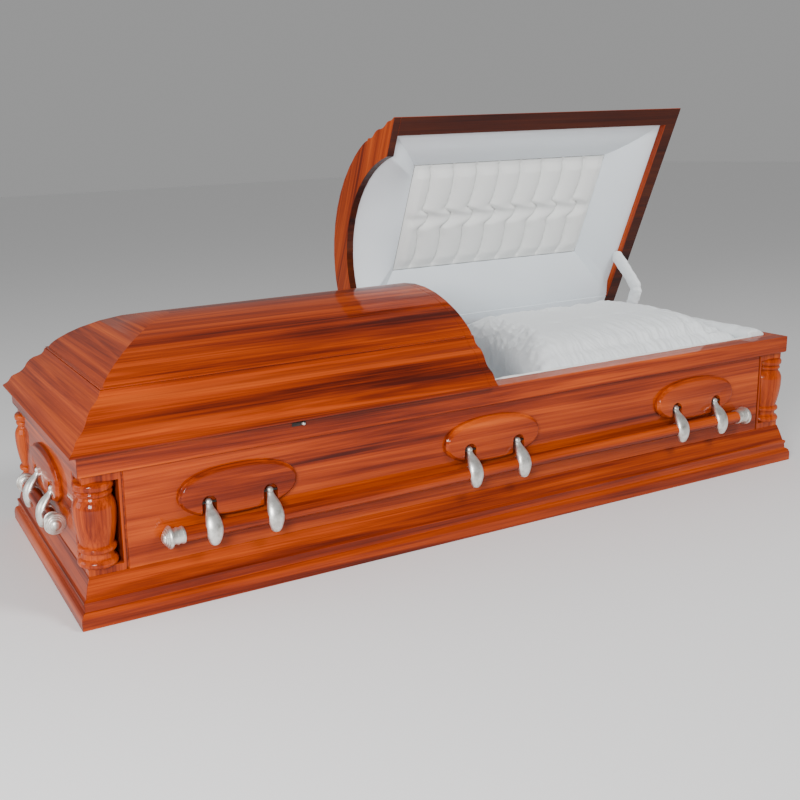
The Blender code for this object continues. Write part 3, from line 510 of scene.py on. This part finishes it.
def buildPlaqueModel(values):
    bpy.ops.object.select_all(action="DESELECT")
    bpy.ops.mesh.primitive_circle_add(vertices=values["sides"], radius=1.0, fill_type="NGON")
    plaque = bpy.context.object
    bpy.ops.object.mode_set(mode="EDIT")
    halfLength, halfHeight, power = values["halfLength"], values["halfHeight"], 2 / values["roundness"]
    before = None
    for out, inset in values["steps"]:
        if before is not None:
            bpy.ops.mesh.extrude_region_move()
        mesh = bmesh.from_edit_mesh(plaque.data)
        for vertex in [vertex for vertex in mesh.verts if vertex.select]:
            if before is None:
                across = math.copysign(abs(vertex.co.x) ** power, vertex.co.x)
                up = math.copysign(abs(vertex.co.y) ** power, vertex.co.y)
            else:
                across, up = vertex.co.x / (halfLength - before), vertex.co.y / (halfHeight - before)
            vertex.co = ((halfLength - inset) * across, (halfHeight - inset) * up, out)
        bmesh.update_edit_mesh(plaque.data)
        before = inset
    faceOut(plaque)
    placeBy(plaque, Matrix.Translation((0, 0, values["height"])) @ Matrix.Rotation(math.pi / 2, 4, "X"))
    for side in (-1, 1):
        centre = side * values["arm"]
        bpy.ops.mesh.primitive_cylinder_add(vertices=48, radius=values["slotWidth"] / 2, depth=0.06,
                                            location=(centre, 0, values["slotTop"]),
                                            rotation=(math.pi / 2, 0, 0))
        cutBy(plaque, bpy.context.object)
        bpy.ops.mesh.primitive_cube_add(size=1, location=(centre, 0, values["slotTop"] - 0.04),
                                        scale=(values["slotWidth"], 0.06, 0.08))
        cutBy(plaque, bpy.context.object)
    bpy.ops.mesh.primitive_cube_add(size=1, location=(0, 0, values["pinHeight"]),
                                    scale=(2 * values["pinReach"], 2 * (values["pinOut"] + values["pinPlay"]),
                                           2 * values["pinPlay"]))
    cutBy(plaque, bpy.context.object)
    bevelEdges(plaque, values["edge"], 2, 50)
    smoothShade(plaque, 35)
    return plaque


def placesAlong(side):
    # the names of the pieces on one side and how far each is from the middle
    pitch = (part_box("plaque_front_3")[0].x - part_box("plaque_front_2")[0].x)
    if side in ("foot", "head"):
        return [("", 0.0)]
    return [(f"_{place + 2}", place * pitch) for place in (-1, 0, 1)]


def buildPlaques(values):
    model = buildPlaqueModel(values)
    for side in ("front", "head", "back", "foot"):
        for suffix, along in placesAlong(side):
            name = "plaque_" + side + suffix
            plaque = copyPiece(model, name + "_moulded", handleFrame(side, along))
            paint(plaque, lacquer)
            along = grainAxis(side)
            grainAlong(plaque, lambda point, normal, along=along: along)
            settle(plaque, bodyOfNode[name], "lacquered_wood", name)
    bpy.data.objects.remove(model)
    print("plaques made")


buildPlaques(plaqueValues)

# handles: X along the bar, -Y outwards from the panel's face

handleValues = {
    "pivotOut": 0.009,
    "pivotHeight": 0.2205,
    "barOut": 0.0255,
    "barHeight": 0.1655,
    "barRadius": 0.0163,
    "pinRadius": 0.0029,
    "pinReach": 0.1018,
    "knobRadius": 0.0080,
    "collarRadius": 0.0192,
    "collarLength": 0.020,
    "capRadius": 0.0250,
    "capLength": 0.050,
    "longBar": 0.8812,
    "shortBar": 0.175,
    # the arm's rings: down from the pivot, out, half width, half depth
    "arm": [(0.001, 0.0090, 0.0062, 0.0056), (0.005, 0.0105, 0.0086, 0.0076), (0.010, 0.0140, 0.0082, 0.0074),
            (0.018, 0.0210, 0.0135, 0.0110), (0.030, 0.0300, 0.0182, 0.0132), (0.044, 0.0360, 0.0206, 0.0138),
            (0.058, 0.0385, 0.0208, 0.0134), (0.070, 0.0388, 0.0182, 0.0120), (0.080, 0.0380, 0.0144, 0.0100),
            (0.0870, 0.0372, 0.0102, 0.0078), (0.0890, 0.0370, 0.0058, 0.0048)],
}


def buildArm(values):
    rings = values["arm"]
    bpy.ops.object.select_all(action="DESELECT")
    bpy.ops.mesh.primitive_circle_add(vertices=12, radius=1.0, fill_type="NGON",
                                      location=(0, -rings[0][1], values["pivotHeight"] - rings[0][0]))
    arm = bpy.context.object
    bpy.ops.object.transform_apply(location=True)
    bpy.ops.object.mode_set(mode="EDIT")
    bpy.ops.mesh.select_all(action="SELECT")
    centre = Vector((0, -rings[0][1], values["pivotHeight"] - rings[0][0]))
    bpy.ops.transform.resize(value=(rings[0][2], rings[0][3], 1), center_override=centre)
    for before, after in zip(rings, rings[1:]):
        step = Vector((0, before[1] - after[1], before[0] - after[0]))
        bpy.ops.mesh.extrude_region_move(TRANSFORM_OT_translate={"value": step})
        centre = centre + step
        growth = (after[2] / before[2], after[3] / before[3], 1)
        bpy.ops.transform.resize(value=growth, center_override=centre)
    faceOut(arm)
    smooth = arm.modifiers.new("smooth", "SUBSURF")
    smooth.levels = smooth.render_levels = 2
    applyModifiers(arm)
    return arm


def buildArmPair(values):
    parts = []
    collarEnd = values["collarLength"] / 2
    inner, outer = values["barRadius"] + 0.0003, values["collarRadius"]
    ring = [(-collarEnd, inner), (-collarEnd, outer - 0.0012), (0.0012 - collarEnd, outer), (-0.004, outer),
            (0, outer + 0.0008), (0.004, outer), (collarEnd - 0.0012, outer), (collarEnd, outer - 0.0012),
            (collarEnd, inner), (-collarEnd, inner)]
    lieDown = Matrix.Rotation(math.pi / 2, 4, "Y")
    for side in (-1, 1):
        along = side * plaqueValues["arm"]
        arm = buildArm(values)
        placeBy(arm, Matrix.Translation((along, 0, 0)))
        paint(arm, silver)
        parts.append(arm)
        collar = spun("collar", ring, 40)
        placeBy(collar, Matrix.Translation((along, -values["barOut"], values["barHeight"])) @ lieDown)
        paint(collar, silver)
        parts.append(collar)
        bpy.ops.mesh.primitive_uv_sphere_add(segments=24, ring_count=14, radius=values["knobRadius"],
                                             location=(along, -values["pivotOut"], values["pivotHeight"]))
        paint(bpy.context.object, silver)
        parts.append(bpy.context.object)
    bpy.ops.mesh.primitive_cylinder_add(vertices=20, radius=values["pinRadius"], depth=2 * values["pinReach"],
                                        location=(0, -values["pivotOut"], values["pivotHeight"]),
                                        rotation=(0, math.pi / 2, 0))
    # the pin is painted near-black, as painted shade inside the slot
    paint(bpy.context.object, darkPlate)
    parts.append(bpy.context.object)
    pickOnly(parts[0])
    for part in parts:
        part.select_set(True)
    bpy.ops.object.join()
    pair = bpy.context.object
    bpy.ops.object.transform_apply(location=True, rotation=True, scale=True)
    smoothShade(pair, 50)
    return pair


def capProfile(values):
    # a domed button, stepped rings with a groove behind each, the flange and the sleeve, from the tip inwards
    end = values["capLength"]
    button = [(0, 0), (0.0006, 0.18), (0.0020, 0.34), (0.0042, 0.45), (0.0060, 0.49)]
    rings = [(0.0062, 0.44), (0.0068, 0.44), (0.0070, 0.60), (0.0082, 0.655), (0.0094, 0.66),
             (0.0096, 0.60), (0.0102, 0.60), (0.0104, 0.76), (0.0116, 0.815), (0.0128, 0.82)]
    flange = [(0.0130, 0.76), (0.0136, 0.76), (0.0138, 0.92), (0.0155, 0.985), (0.0175, 1.0),
              (0.0200, 0.985), (0.0212, 0.95), (0.0216, 0.78), (0.0250, 0.70), (0.0262, 0.69)]
    sleeve = [(0.033, 0.70), (0.0336, 0.75), (0.0370, 0.75), (0.0376, 0.70), (0.0450, 0.71), (0.0456, 0.76),
              (0.0492, 0.76), (end, 0.74), (end, 0.66), (0.030, 0.655), (0.028, 0.0)]
    return [(along, share * values["capRadius"]) for along, share in button + rings + flange + sleeve]


def buildHandles(values):
    armModel = buildArmPair(values)
    capModel = spun("cap", capProfile(values), 48)
    smoothShade(capModel, 35)
    lieDown = Matrix.Rotation(math.pi / 2, 4, "Y")
    toBar = Matrix.Translation((0, -values["barOut"], values["barHeight"]))
    for side in ("front", "head", "back", "foot"):
        body = "handle_" + side
        half = values["shortBar"] if side in ("foot", "head") else values["longBar"]
        reach, radius = half - 0.031, values["barRadius"]
        bar = spun("bar_" + side + "_wood", [(-reach, 0), (-reach, radius), (reach, radius), (reach, 0)], 40)
        smoothShade(bar, 40)
        placeBy(bar, handleFrame(side) @ toBar @ lieDown)
        paint(bar, lacquer)
        along = grainAxis(side)
        grainAlong(bar, lambda point, normal, along=along: along)
        settle(bar, body, "lacquered_wood", "bar_" + side)
        for end, turn in (("left", lieDown), ("right", Matrix.Rotation(-math.pi / 2, 4, "Y"))):
            sign = -1 if end == "left" else 1
            tip = Matrix.Translation((sign * half, 0, 0))
            cap = copyPiece(capModel, f"bar_{side}_cap_{end}", handleFrame(side) @ toBar @ tip @ turn)
            paint(cap, silver)
            settle(cap, body, "satin_silver")
        for suffix, along in placesAlong(side):
            name = "arm_pair_" + side + suffix
            arms = copyPiece(armModel, name + "_cast", handleFrame(side, along))
            settle(arms, body, "satin_silver", name)
    bpy.data.objects.remove(armModel)
    bpy.data.objects.remove(capModel)
    print("handles made")


buildHandles(handleValues)

# small metal: hinge strips and the lock stud


def buildSmallMetal():
    for name in ("hinge_head", "hinge_foot", "lid_catch"):
        piece = cleanCopy(name, "_polished")
        smoothShade(piece, 50)
        paint(piece, silver)
        if name == "lid_catch":      # the faces set back behind the stud are painted dark, as painted shade in the slot
            piece.data.materials.append(darkPlate)
            outermost = min(vertex.co.y for vertex in piece.data.vertices)
            for face in piece.data.polygons:
                face.material_index = 1 if face.center.y > outermost + 0.0052 else 0
        settle(piece, "casket", "satin_silver", name)
    print("hinges and lock stud finished")


buildSmallMetal()

# lid linings, shaped on the closed lid

liningValues = {
    "seat": 0.3725,          # underside of the closed lid
    "split": 0.0236,
    "end": 1.0209,
    "side": 0.3093,
    "low": 0.020,
    "backLow": 0.004,
    "high": 0.083,
    "panel": (0.159, 0.890, -0.184, 0.165),
    "puff": 0.015,
    "backing": 0.005,
    "archHalf": 0.2507,
    "archRise": 0.134,
}


def archHeight(y, values):
    half, rise = values["archHalf"], values["archRise"]
    if abs(y) >= half:
        return 0.0
    radius = (half ** 2 + rise ** 2) / (2 * rise)
    return rise - radius + math.sqrt(radius ** 2 - y ** 2)


def padGrid(name, columns, rows, place, backing):
    # a sheet of points set out by place(u, v), each from 0 to 1, and given a backing
    bpy.ops.object.select_all(action="DESELECT")
    bpy.ops.mesh.primitive_grid_add(x_subdivisions=columns, y_subdivisions=rows, size=2)
    pad = bpy.context.object
    pad.name = name
    bpy.ops.object.mode_set(mode="EDIT")
    mesh = bmesh.from_edit_mesh(pad.data)
    for vertex in mesh.verts:
        vertex.co = place((vertex.co.x + 1) / 2, (vertex.co.y + 1) / 2)
    bmesh.update_edit_mesh(pad.data)
    bpy.ops.object.mode_set(mode="OBJECT")
    solid = pad.modifiers.new("backing", "SOLIDIFY")
    solid.thickness = abs(backing)
    solid.offset = 1 if backing > 0 else -1
    applyModifiers(pad)
    bpy.ops.object.mode_set(mode="EDIT")
    bpy.ops.mesh.select_all(action="SELECT")
    bpy.ops.mesh.normals_make_consistent(inside=False)
    bpy.ops.object.mode_set(mode="OBJECT")
    smoothShade(pad, 60)
    return pad


def borderEdges(values):
    # for each border: its outer and inner line, from one mitre to the next
    left, right, front, back = values["panel"]
    split, end, side = values["split"], values["end"], values["side"]
    low, high = values["low"], values["high"]

    def splitHeight(y):
        fromBack = max(0, side - y)
        rise = min(low, values["backLow"] + 0.4 * fromBack)
        return rise if fromBack < 0.03 else max(rise, archHeight(y, values) + 0.0035)

    def endHeight(u):
        # it comes down to the back border's height over its last twelfth
        return low - 12 * (low - values["backLow"]) * max(0, u - 11 / 12)

    return {
        "front": (lambda u: (split + u * (end - split), -side, low),
                  lambda u: (left + u * (right - left), front, high)),
        "end": (lambda u: (end, -side + 2 * u * side, endHeight(u)),
                lambda u: (right, front + u * (back - front), high)),
        "back": (lambda u: (end - u * (end - split), side, values["backLow"]),
                 lambda u: (right - u * (right - left), back, high)),
        "split": (lambda u: (split, side - 2 * u * side, splitHeight(side - 2 * u * side)),
                  lambda u: (left, back - u * (back - front), high)),
    }


def buildLining(lid, mirror, turn, values):
    borders = borderEdges(values)
    for border, (outer, inner) in borders.items():
        def place(u, v, outer=outer, inner=inner):
            a, b = Vector(outer(u)), Vector(inner(u))
            point = a.lerp(b, v)
            swell = math.sin(math.pi * v) ** 0.75
            ends = min(1.0, 14 * min(u, 1 - u)) ** 0.5
            wrinkle = 0.0008 * noise.noise(point * 22)
            point.z += values["seat"] - (values["puff"] * (0.82 + 0.18 * ends) + wrinkle) * swell
            return point

        pad = padGrid(f"{lid}_border_{border}", 96, 22, place, values["backing"])
        placeBy(pad, turn @ mirror)
        if mirror.is_negative:
            faceOut(pad)
        paint(pad, crepe)
        if border == "front":
            settle(pad, lid, "white_crepe", lid + "_lining")
        else:
            settle(pad, lid, "white_crepe")
    print(lid + " lining made")


tuftValues = {
    "pitches": 8.7,
    "first": 0.70,
    "depth": 0.022,
    "sink": 0.006,       # how far the seams lie above the border's edge
    "wander": [(0.0, 0.0), (0.12, 0.08), (0.24, 0.11), (0.35, 0.07), (0.41, 0.0), (0.48, 0.36), (0.52, 0.34),
               (0.61, 0.0), (0.70, 0.08), (0.82, 0.11), (1.0, 0.0)],
}


def seamShift(v, line):
    for (low, start), (high, finish) in zip(line, line[1:]):
        if v <= high:
            t = (v - low) / (high - low)
            return start + (finish - start) * t * t * (3 - 2 * t)
    return line[-1][1]


def buildTuftedPanel(values, lining):
    left, right, front, back = lining["panel"]
    inset = 0.0012

    def place(u, v):
        x = left + inset + u * (right - left - 2 * inset)
        y = front + inset + v * (back - front - 2 * inset)
        along = u * values["pitches"] - values["first"] - seamShift(v, values["wander"])
        fromSeam = abs((along + 0.5) % 1 - 0.5) if along < values["pitches"] - 1.2 and along > -0.5 else 0.5
        fromSeam = abs(along) if along < 0 else fromSeam
        channel = (1 - (1 - min(1.0, 2.0 * fromSeam)) ** 2) ** 0.5
        row = min(1.0, 9.0 * min(v, 1 - v)) ** 0.5
        edge = min(1.0, 26.0 * min(u, 1 - u)) ** 0.5
        tuft = 1 - 0.30 * math.exp(-((v - 0.50) / 0.045) ** 2)
        lift = values["depth"] * channel * row * edge * tuft
        sink = values["sink"] * min(1.0, 30.0 * min(v, 1 - v), 60.0 * min(u, 1 - u))
        return Vector((x, y, lining["seat"] + lining["high"] + sink - lift))

    panel = padGrid("head_lid_tufted_panel", 300, 96, place, 0.003)
    placeBy(panel, openLid)
    paint(panel, satin)
    settle(panel, "head_lid", "white_crepe", "head_lid_tufting")
    print("tufted panel made")


def buildPlainPanel(lining, mirror):
    left, right, front, back = lining["panel"]

    def place(u, v):
        x = left + 0.001 + u * (right - left - 0.002)
        y = front + 0.001 + v * (back - front - 0.002)
        swell = (min(1.0, 8 * min(u, 1 - u)) * min(1.0, 5 * min(v, 1 - v))) ** 0.5
        lift = 0.006 * swell - 0.001 * noise.noise((x * 9, y * 9, 0))
        return Vector((x, y, lining["seat"] + lining["high"] - lift))

    panel = padGrid("foot_lid_panel", 70, 34, place, 0.004)
    placeBy(panel, mirror)
    faceOut(panel)
    paint(panel, crepe)
    settle(panel, "foot_lid", "white_crepe")


mirrorX = Matrix.Scale(-1, 4, (1, 0, 0))
buildLining("head_lid", Matrix.Identity(4), openLid, liningValues)
buildLining("foot_lid", mirrorX, Matrix.Identity(4), liningValues)
buildTuftedPanel(tuftValues, liningValues)
buildPlainPanel(liningValues, mirrorX)

# fabric over the back rail of the head lid and over the ledge under it

apronValues = {
    "rail": (0.3097, 0.3560),
    "up": 0.0036,
    "wall": 0.0004,
    "ledge": (0.2960, 0.3385),
    "ledgeTop": 0.3712,
    "start": 0.0245,
    "end": 1.015,
}


def buildAprons(values):
    seat = liningValues["seat"]
    railStart, railEnd = values["rail"]
    length = values["end"] - values["start"]

    def lidPlace(u, v):
        x = values["start"] + u * length
        reach = v * (values["up"] + railEnd - railStart)
        if reach < values["up"]:
            return Vector((x, railStart - 0.0004, seat + values["up"] - reach))
        return Vector((x, railStart + reach - values["up"] - 0.0004, seat - 0.0002))

    lidApron = padGrid("head_lid_apron", 60, 24, lidPlace, -values["wall"])
    placeBy(lidApron, openLid)
    paint(lidApron, crepe)
    settle(lidApron, "head_lid", "white_crepe")

    near, far = values["ledge"]

    def ledgePlace(u, v):
        return Vector((values["start"] + u * length, near + v * (far - near), values["ledgeTop"]))

    ledgeApron = padGrid("ledge_apron", 60, 8, ledgePlace, values["wall"])
    paint(ledgeApron, crepe)
    settle(ledgeApron, "casket", "white_crepe")


buildAprons(apronValues)
print("aprons made")

# a gathered cord along the inner edge of the front ledge, in the head half

cordValues = {
    "y": -0.2926,
    "z": 0.3700,
    "start": 0.032,
    "end": 0.965,
    "radius": 0.0042,
    "ruffle": 0.0009,
    "perMetre": 95,
}


def buildCord(values):
    bpy.ops.object.select_all(action="DESELECT")
    length = values["end"] - values["start"]
    bpy.ops.mesh.primitive_cylinder_add(vertices=14, radius=values["radius"], depth=length,
                                        end_fill_type="NGON", rotation=(0, math.pi / 2, 0))
    cord = bpy.context.object
    cord.name = "front_cord"
    bpy.ops.object.transform_apply(rotation=True)
    bpy.ops.object.mode_set(mode="EDIT")
    bpy.ops.mesh.select_all(action="DESELECT")
    mesh = bmesh.from_edit_mesh(cord.data)
    for edge in mesh.edges:
        if abs(edge.verts[0].co.x - edge.verts[1].co.x) > 0.5 * length:
            edge.select_set(True)
    bmesh.update_edit_mesh(cord.data)
    bpy.ops.mesh.subdivide(number_cuts=399)
    mesh = bmesh.from_edit_mesh(cord.data)
    middle = (values["start"] + values["end"]) / 2
    for vertex in mesh.verts:
        along = vertex.co.x + middle
        swell = 1 + values["ruffle"] / values["radius"] * (
            math.sin(2 * math.pi * values["perMetre"] * along + 3 * noise.noise((along * 20, 0, 0)))
            + noise.noise((along * 60, vertex.co.y * 200, 3.0)))
        vertex.co = (along, values["y"] + vertex.co.y * swell, values["z"] + vertex.co.z * swell)
    bmesh.update_edit_mesh(cord.data)
    bpy.ops.object.mode_set(mode="OBJECT")
    smoothShade(cord, 180)
    paint(cord, satin)
    settle(cord, "casket", "white_crepe")
    print("cord made")


buildCord(cordValues)

# the bed

bedValues = {
    "voxel": 0.006,
    "pressure": 4.0,
    "frames": 20,
    "most": 0.014,
    "pull": 0.055,       # how far the foot end is drawn towards the head
    "pullReach": 0.35,
    "spill": 0.002,      # how far it may press into the walls
    "wrinkle": 0.0100,
    "room": 0.003,       # left under the shut head lid
    "band": 0.016,
    "mattressRound": 0.022,
    "beddingRound": 0.030,
    "rollVoxel": 0.004,
    "rollMost": 0.004,
    "rollWrinkle": 0.003,
}


def simulatePad(piece, voxel, pressure, frames, most):
    # the cloth swells, then each point is held to a most that it may move
    pickOnly(piece)
    remesh = piece.modifiers.new("remesh", "REMESH")
    remesh.mode = "VOXEL"
    remesh.voxel_size = voxel
    applyModifiers(piece)
    before = [vertex.co.copy() for vertex in piece.data.vertices]
    cloth = piece.modifiers.new("cloth", "CLOTH")
    cloth.settings.use_pressure = True
    cloth.settings.uniform_pressure_force = pressure
    cloth.settings.effector_weights.gravity = 0
    cloth.settings.quality = 4
    cloth.collision_settings.use_collision = False
    cloth.point_cache.frame_end = frames
    for step in range(1, frames + 1):
        bpy.context.scene.frame_set(step)
    applyModifiers(piece)
    bpy.context.scene.frame_set(1)
    for vertex, start in zip(piece.data.vertices, before):
        move = vertex.co - start
        if move.length > most:
            vertex.co = start + move * (most / move.length)


def underLid(y, lining, tufts, room):
    # how high the bed may come when the head lid is shut
    frameEdge = lining["seat"] + lining["high"]
    back, side = lining["panel"][3], lining["side"]
    flat = frameEdge + tufts["sink"] - tufts["depth"] - room
    if y < back:
        return flat
    fall = (lining["high"] - lining["backLow"]) * (y - back) / (side - back)
    return min(flat, frameEdge - fall - lining["puff"] - room)


def pressDown(piece, band, room):
    # cloth near the shut lid's lining is eased down below it, with its creases kept shallow
    for vertex in piece.data.vertices:
        most = underLid(vertex.co.y, liningValues, tuftValues, room)
        over = vertex.co.z - (most - band)
        if over > 0:
            vertex.co.z = most - band + band * math.tanh(over / band)
    piece.data.update()


def ruche(piece, depth, top, floor):
    # soft creases across the bed, deeper towards the head, gathered along seams that run its length
    piece.data.update()
    normals = [vertex.normal.copy() for vertex in piece.data.vertices]
    for vertex, normal in zip(piece.data.vertices, normals):
        point = vertex.co
        if point.z < floor:
            continue
        bend = 0.07 * noise.noise((point.x * 2.6, point.y * 3.4, 2.0))
        bend += 0.25 * point.y * noise.noise((point.x * 4, 0, 8))
        broad = noise.noise(((point.x + bend) * 17, point.y * 5, 6.0))
        across = noise.noise(((point.x + bend) * 36, point.y * 8, 1.0))
        second = noise.noise(((point.x - bend) * 80, point.y * 22 + 5, 4.0))
        crease = (1 - abs(broad)) ** 3 * 0.7 + (1 - abs(across)) ** 3 * 0.6 + (1 - abs(second)) ** 3 * 0.3
        gather = math.exp(-(((point.y + 0.33) % 0.19 - 0.095) / 0.012) ** 2)
        strength = min(1.0, (point.z - floor) / 0.03) * min(1.0, 0.35 + max(0, point.x - 0.25) * 3)
        vertex.co = point + normal * depth * strength * (crease - 0.7 - 0.7 * gather)
        vertex.co.z = min(vertex.co.z, top)
    piece.data.update()


def buildBed(values):
    mattress = cleanCopy("mattress", "_cover")
    bevelEdges(mattress, values["mattressRound"], 5, 30)
    smoothShade(mattress, 40)
    paint(mattress, crepe)
    settle(mattress, "casket", "white_crepe", "mattress")

    bedding = cleanCopy("bedding", "_ruched")
    bevelEdges(bedding, values["beddingRound"], 4, 50)
    low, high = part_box("bedding")
    simulatePad(bedding, values["voxel"], values["pressure"], values["frames"], values["most"])
    for vertex in bedding.data.vertices:      # keep it inside the walls and on the mattress
        vertex.co.x += values["pull"] * max(0, 1 - (vertex.co.x - low.x) / values["pullReach"])
        vertex.co.y = max(low.y - values["spill"], min(high.y + values["spill"], vertex.co.y))
        vertex.co.x = min(high.x, vertex.co.x)
        vertex.co.z = max(low.z, vertex.co.z)
    finer = bedding.modifiers.new("finer", "SUBSURF")
    finer.levels = finer.render_levels = 1
    applyModifiers(bedding)
    ruche(bedding, values["wrinkle"], high.z + 0.012, low.z + 0.01)
    pressDown(bedding, values["band"], values["room"])
    smoothShade(bedding, 180)
    paint(bedding, ruched)
    settle(bedding, "casket", "white_crepe", "bedding")

    bolster = cleanCopy("head_bolster", "_roll")
    low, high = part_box("head_bolster")
    simulatePad(bolster, values["rollVoxel"], values["pressure"], values["frames"], values["rollMost"])
    ruche(bolster, values["rollWrinkle"], high.z + 0.006, low.z + 0.01)
    smoothShade(bolster, 180)
    paint(bolster, ruched)
    settle(bolster, "casket", "white_crepe", "head_bolster")
    print("bed made")


buildBed(bedValues)

# gathered lining of the walls

wallValues = {
    "pleats": 150,
    "depth": 0.0016,
    "wall": 0.0022,
}


def buildWallLining(values):
    low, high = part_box("side_lining")
    inset = 0.0035
    halfX, halfY = high.x - inset, high.y - inset
    sides = [2 * halfX, 2 * halfY, 2 * halfX, 2 * halfY]
    whole = sum(sides)

    def place(u, v):
        s = (u * whole) % whole
        turn = 2 * math.pi * values["pleats"] * u + 2.5 * noise.noise((u * 60, v * 2, 0))
        wave = values["depth"] * math.sin(turn)
        wave *= 0.35 + 0.65 * (1 - v)
        if s < sides[0]:
            spot, out = Vector((-halfX + s, -halfY, 0)), Vector((0, -1, 0))
        elif s < sides[0] + sides[1]:
            spot, out = Vector((halfX, -halfY + s - sides[0], 0)), Vector((1, 0, 0))
        elif s < whole - sides[3]:
            spot, out = Vector((halfX - (s - sides[0] - sides[1]), halfY, 0)), Vector((0, 1, 0))
        else:
            spot, out = Vector((-halfX, halfY - (s - whole + sides[3]), 0)), Vector((-1, 0, 0))
        spot += out * wave
        spot.z = low.z + v * (high.z - low.z)
        return spot

    lining = padGrid("wall_lining", 1200, 14, place, values["wall"])
    pickOnly(lining)
    bpy.ops.object.mode_set(mode="EDIT")
    bpy.ops.mesh.select_all(action="SELECT")
    bpy.ops.mesh.remove_doubles(threshold=0.0003)
    bpy.ops.object.mode_set(mode="OBJECT")
    paint(lining, crepe)
    settle(lining, "casket", "white_crepe", "side_lining")
    print("wall lining made")


buildWallLining(wallValues)

# fabric sleeves on the two links of the stay

sleeveValues = {
    "halfWidth": 0.0225,
    "halfDepth": 0.0100,
    "shift": {"stay_lower": -0.0066, "stay_upper": 0.0010},     # so that both tubes share one line
    "wrinkle": 0.0025,
    "bow": 0.0030,
    "rings": 60,
}


def buildSleeve(node, values):
    points = [vertex.co.copy() for vertex in nodes[node].data.vertices]
    middle = sum(points, Vector()) / len(points)
    first = max(points, key=lambda point: (point.yz - middle.yz).length)
    last = max(points, key=lambda point: (point.yz - first.yz).length)
    if first.z > last.z:
        first, last = last, first
    reach = Vector((0, last.y - first.y, last.z - first.z))
    along = reach.normalized()
    sideways = Vector((0, -along.z, along.y))
    plate = sorted(point.x for point in points)[len(points) // 2]
    start = Vector((plate + values["shift"][node], first.y, first.z))

    def place(u, t):
        angle = 2 * math.pi * u
        close = max(0.02, min(1.0, 9 * t, 9 * (1 - t))) ** 0.5
        crease = values["wrinkle"] * noise.noise((math.cos(angle) * 1.5, t * 15, math.sin(angle) * 1.5 + 9))
        bow = values["bow"] * 4 * t * (1 - t)
        across = bow + (values["halfWidth"] + crease) * close * math.cos(angle)
        deep = (values["halfDepth"] + 0.5 * crease) * close * math.sin(angle)
        return start + reach * t + sideways * across + Vector((deep, 0, 0))

    bpy.ops.object.select_all(action="DESELECT")
    bpy.ops.mesh.primitive_cylinder_add(vertices=36, radius=1, depth=2, end_fill_type="NGON")
    sleeve = bpy.context.object
    sleeve.name = node + "_sleeve"
    bpy.ops.object.mode_set(mode="EDIT")
    bpy.ops.mesh.select_all(action="DESELECT")
    mesh = bmesh.from_edit_mesh(sleeve.data)
    for edge in mesh.edges:
        if abs(edge.verts[0].co.z - edge.verts[1].co.z) > 1:
            edge.select_set(True)
    bmesh.update_edit_mesh(sleeve.data)
    bpy.ops.mesh.subdivide(number_cuts=values["rings"] - 1)
    mesh = bmesh.from_edit_mesh(sleeve.data)
    for vertex in mesh.verts:
        turn = math.atan2(vertex.co.y, vertex.co.x) / (2 * math.pi) % 1
        vertex.co = place(turn, (vertex.co.z + 1) / 2)
    bmesh.update_edit_mesh(sleeve.data)
    faceOut(sleeve)
    smoothShade(sleeve, 180)
    paint(sleeve, ruched)
    settle(sleeve, node, "white_crepe", node)


for link in ("stay_lower", "stay_upper"):
    buildSleeve(link, sleeveValues)
print("stay covered")

# floor and light

studioValues = {
    "floor": (0.92, 0.92, 0.92),
    "world": 0.34,
    "lights": [      # place, aim, size, power and whether the gloss shows it
        ("key", (-2.5, -2.3, 1.4), (-0.8, -0.3, 0.15), (0.8, 0.8), 95, True),
        ("bedside", (1.0, -2.4, 2.8), (0.5, 0.1, 0.5), (1.0, 0.8), 75, False),
        ("endCard", (-4.4, 0.9, 1.3), (-1.0, 0.0, 0.4), (2.2, 1.8), 50, True),
    ],
}


def buildStudio(values):
    bpy.ops.object.select_all(action="DESELECT")
    bpy.ops.mesh.primitive_plane_add(size=40, location=(0, 0, -0.0005))
    floor = bpy.context.object
    floor.name = "floor"
    finish = Finish("paleFloor")
    floor.data.materials.append(finish.shade(colour=(*values["floor"], 1), roughness=0.6))
    bpy.ops.object.transform_apply(location=True)
    world = bpy.data.worlds.new("studio")
    bpy.context.scene.world = world
    world.use_nodes = True
    world.node_tree.nodes["Background"].inputs["Color"].default_value = (1, 1, 1, 1)
    world.node_tree.nodes["Background"].inputs["Strength"].default_value = values["world"]
    for name, place, aim, size, power, shows in values["lights"]:
        bpy.ops.object.light_add(type="AREA", location=place)
        light = bpy.context.object
        light.name = name
        light.data.shape = "RECTANGLE"
        light.data.size, light.data.size_y = size
        light.data.energy = power
        light.visible_glossy = shows
        toward = Vector(aim) - Vector(place)
        light.rotation_euler = toward.to_track_quat("-Z", "Y").to_euler()
    print("studio set")


buildStudio(studioValues)
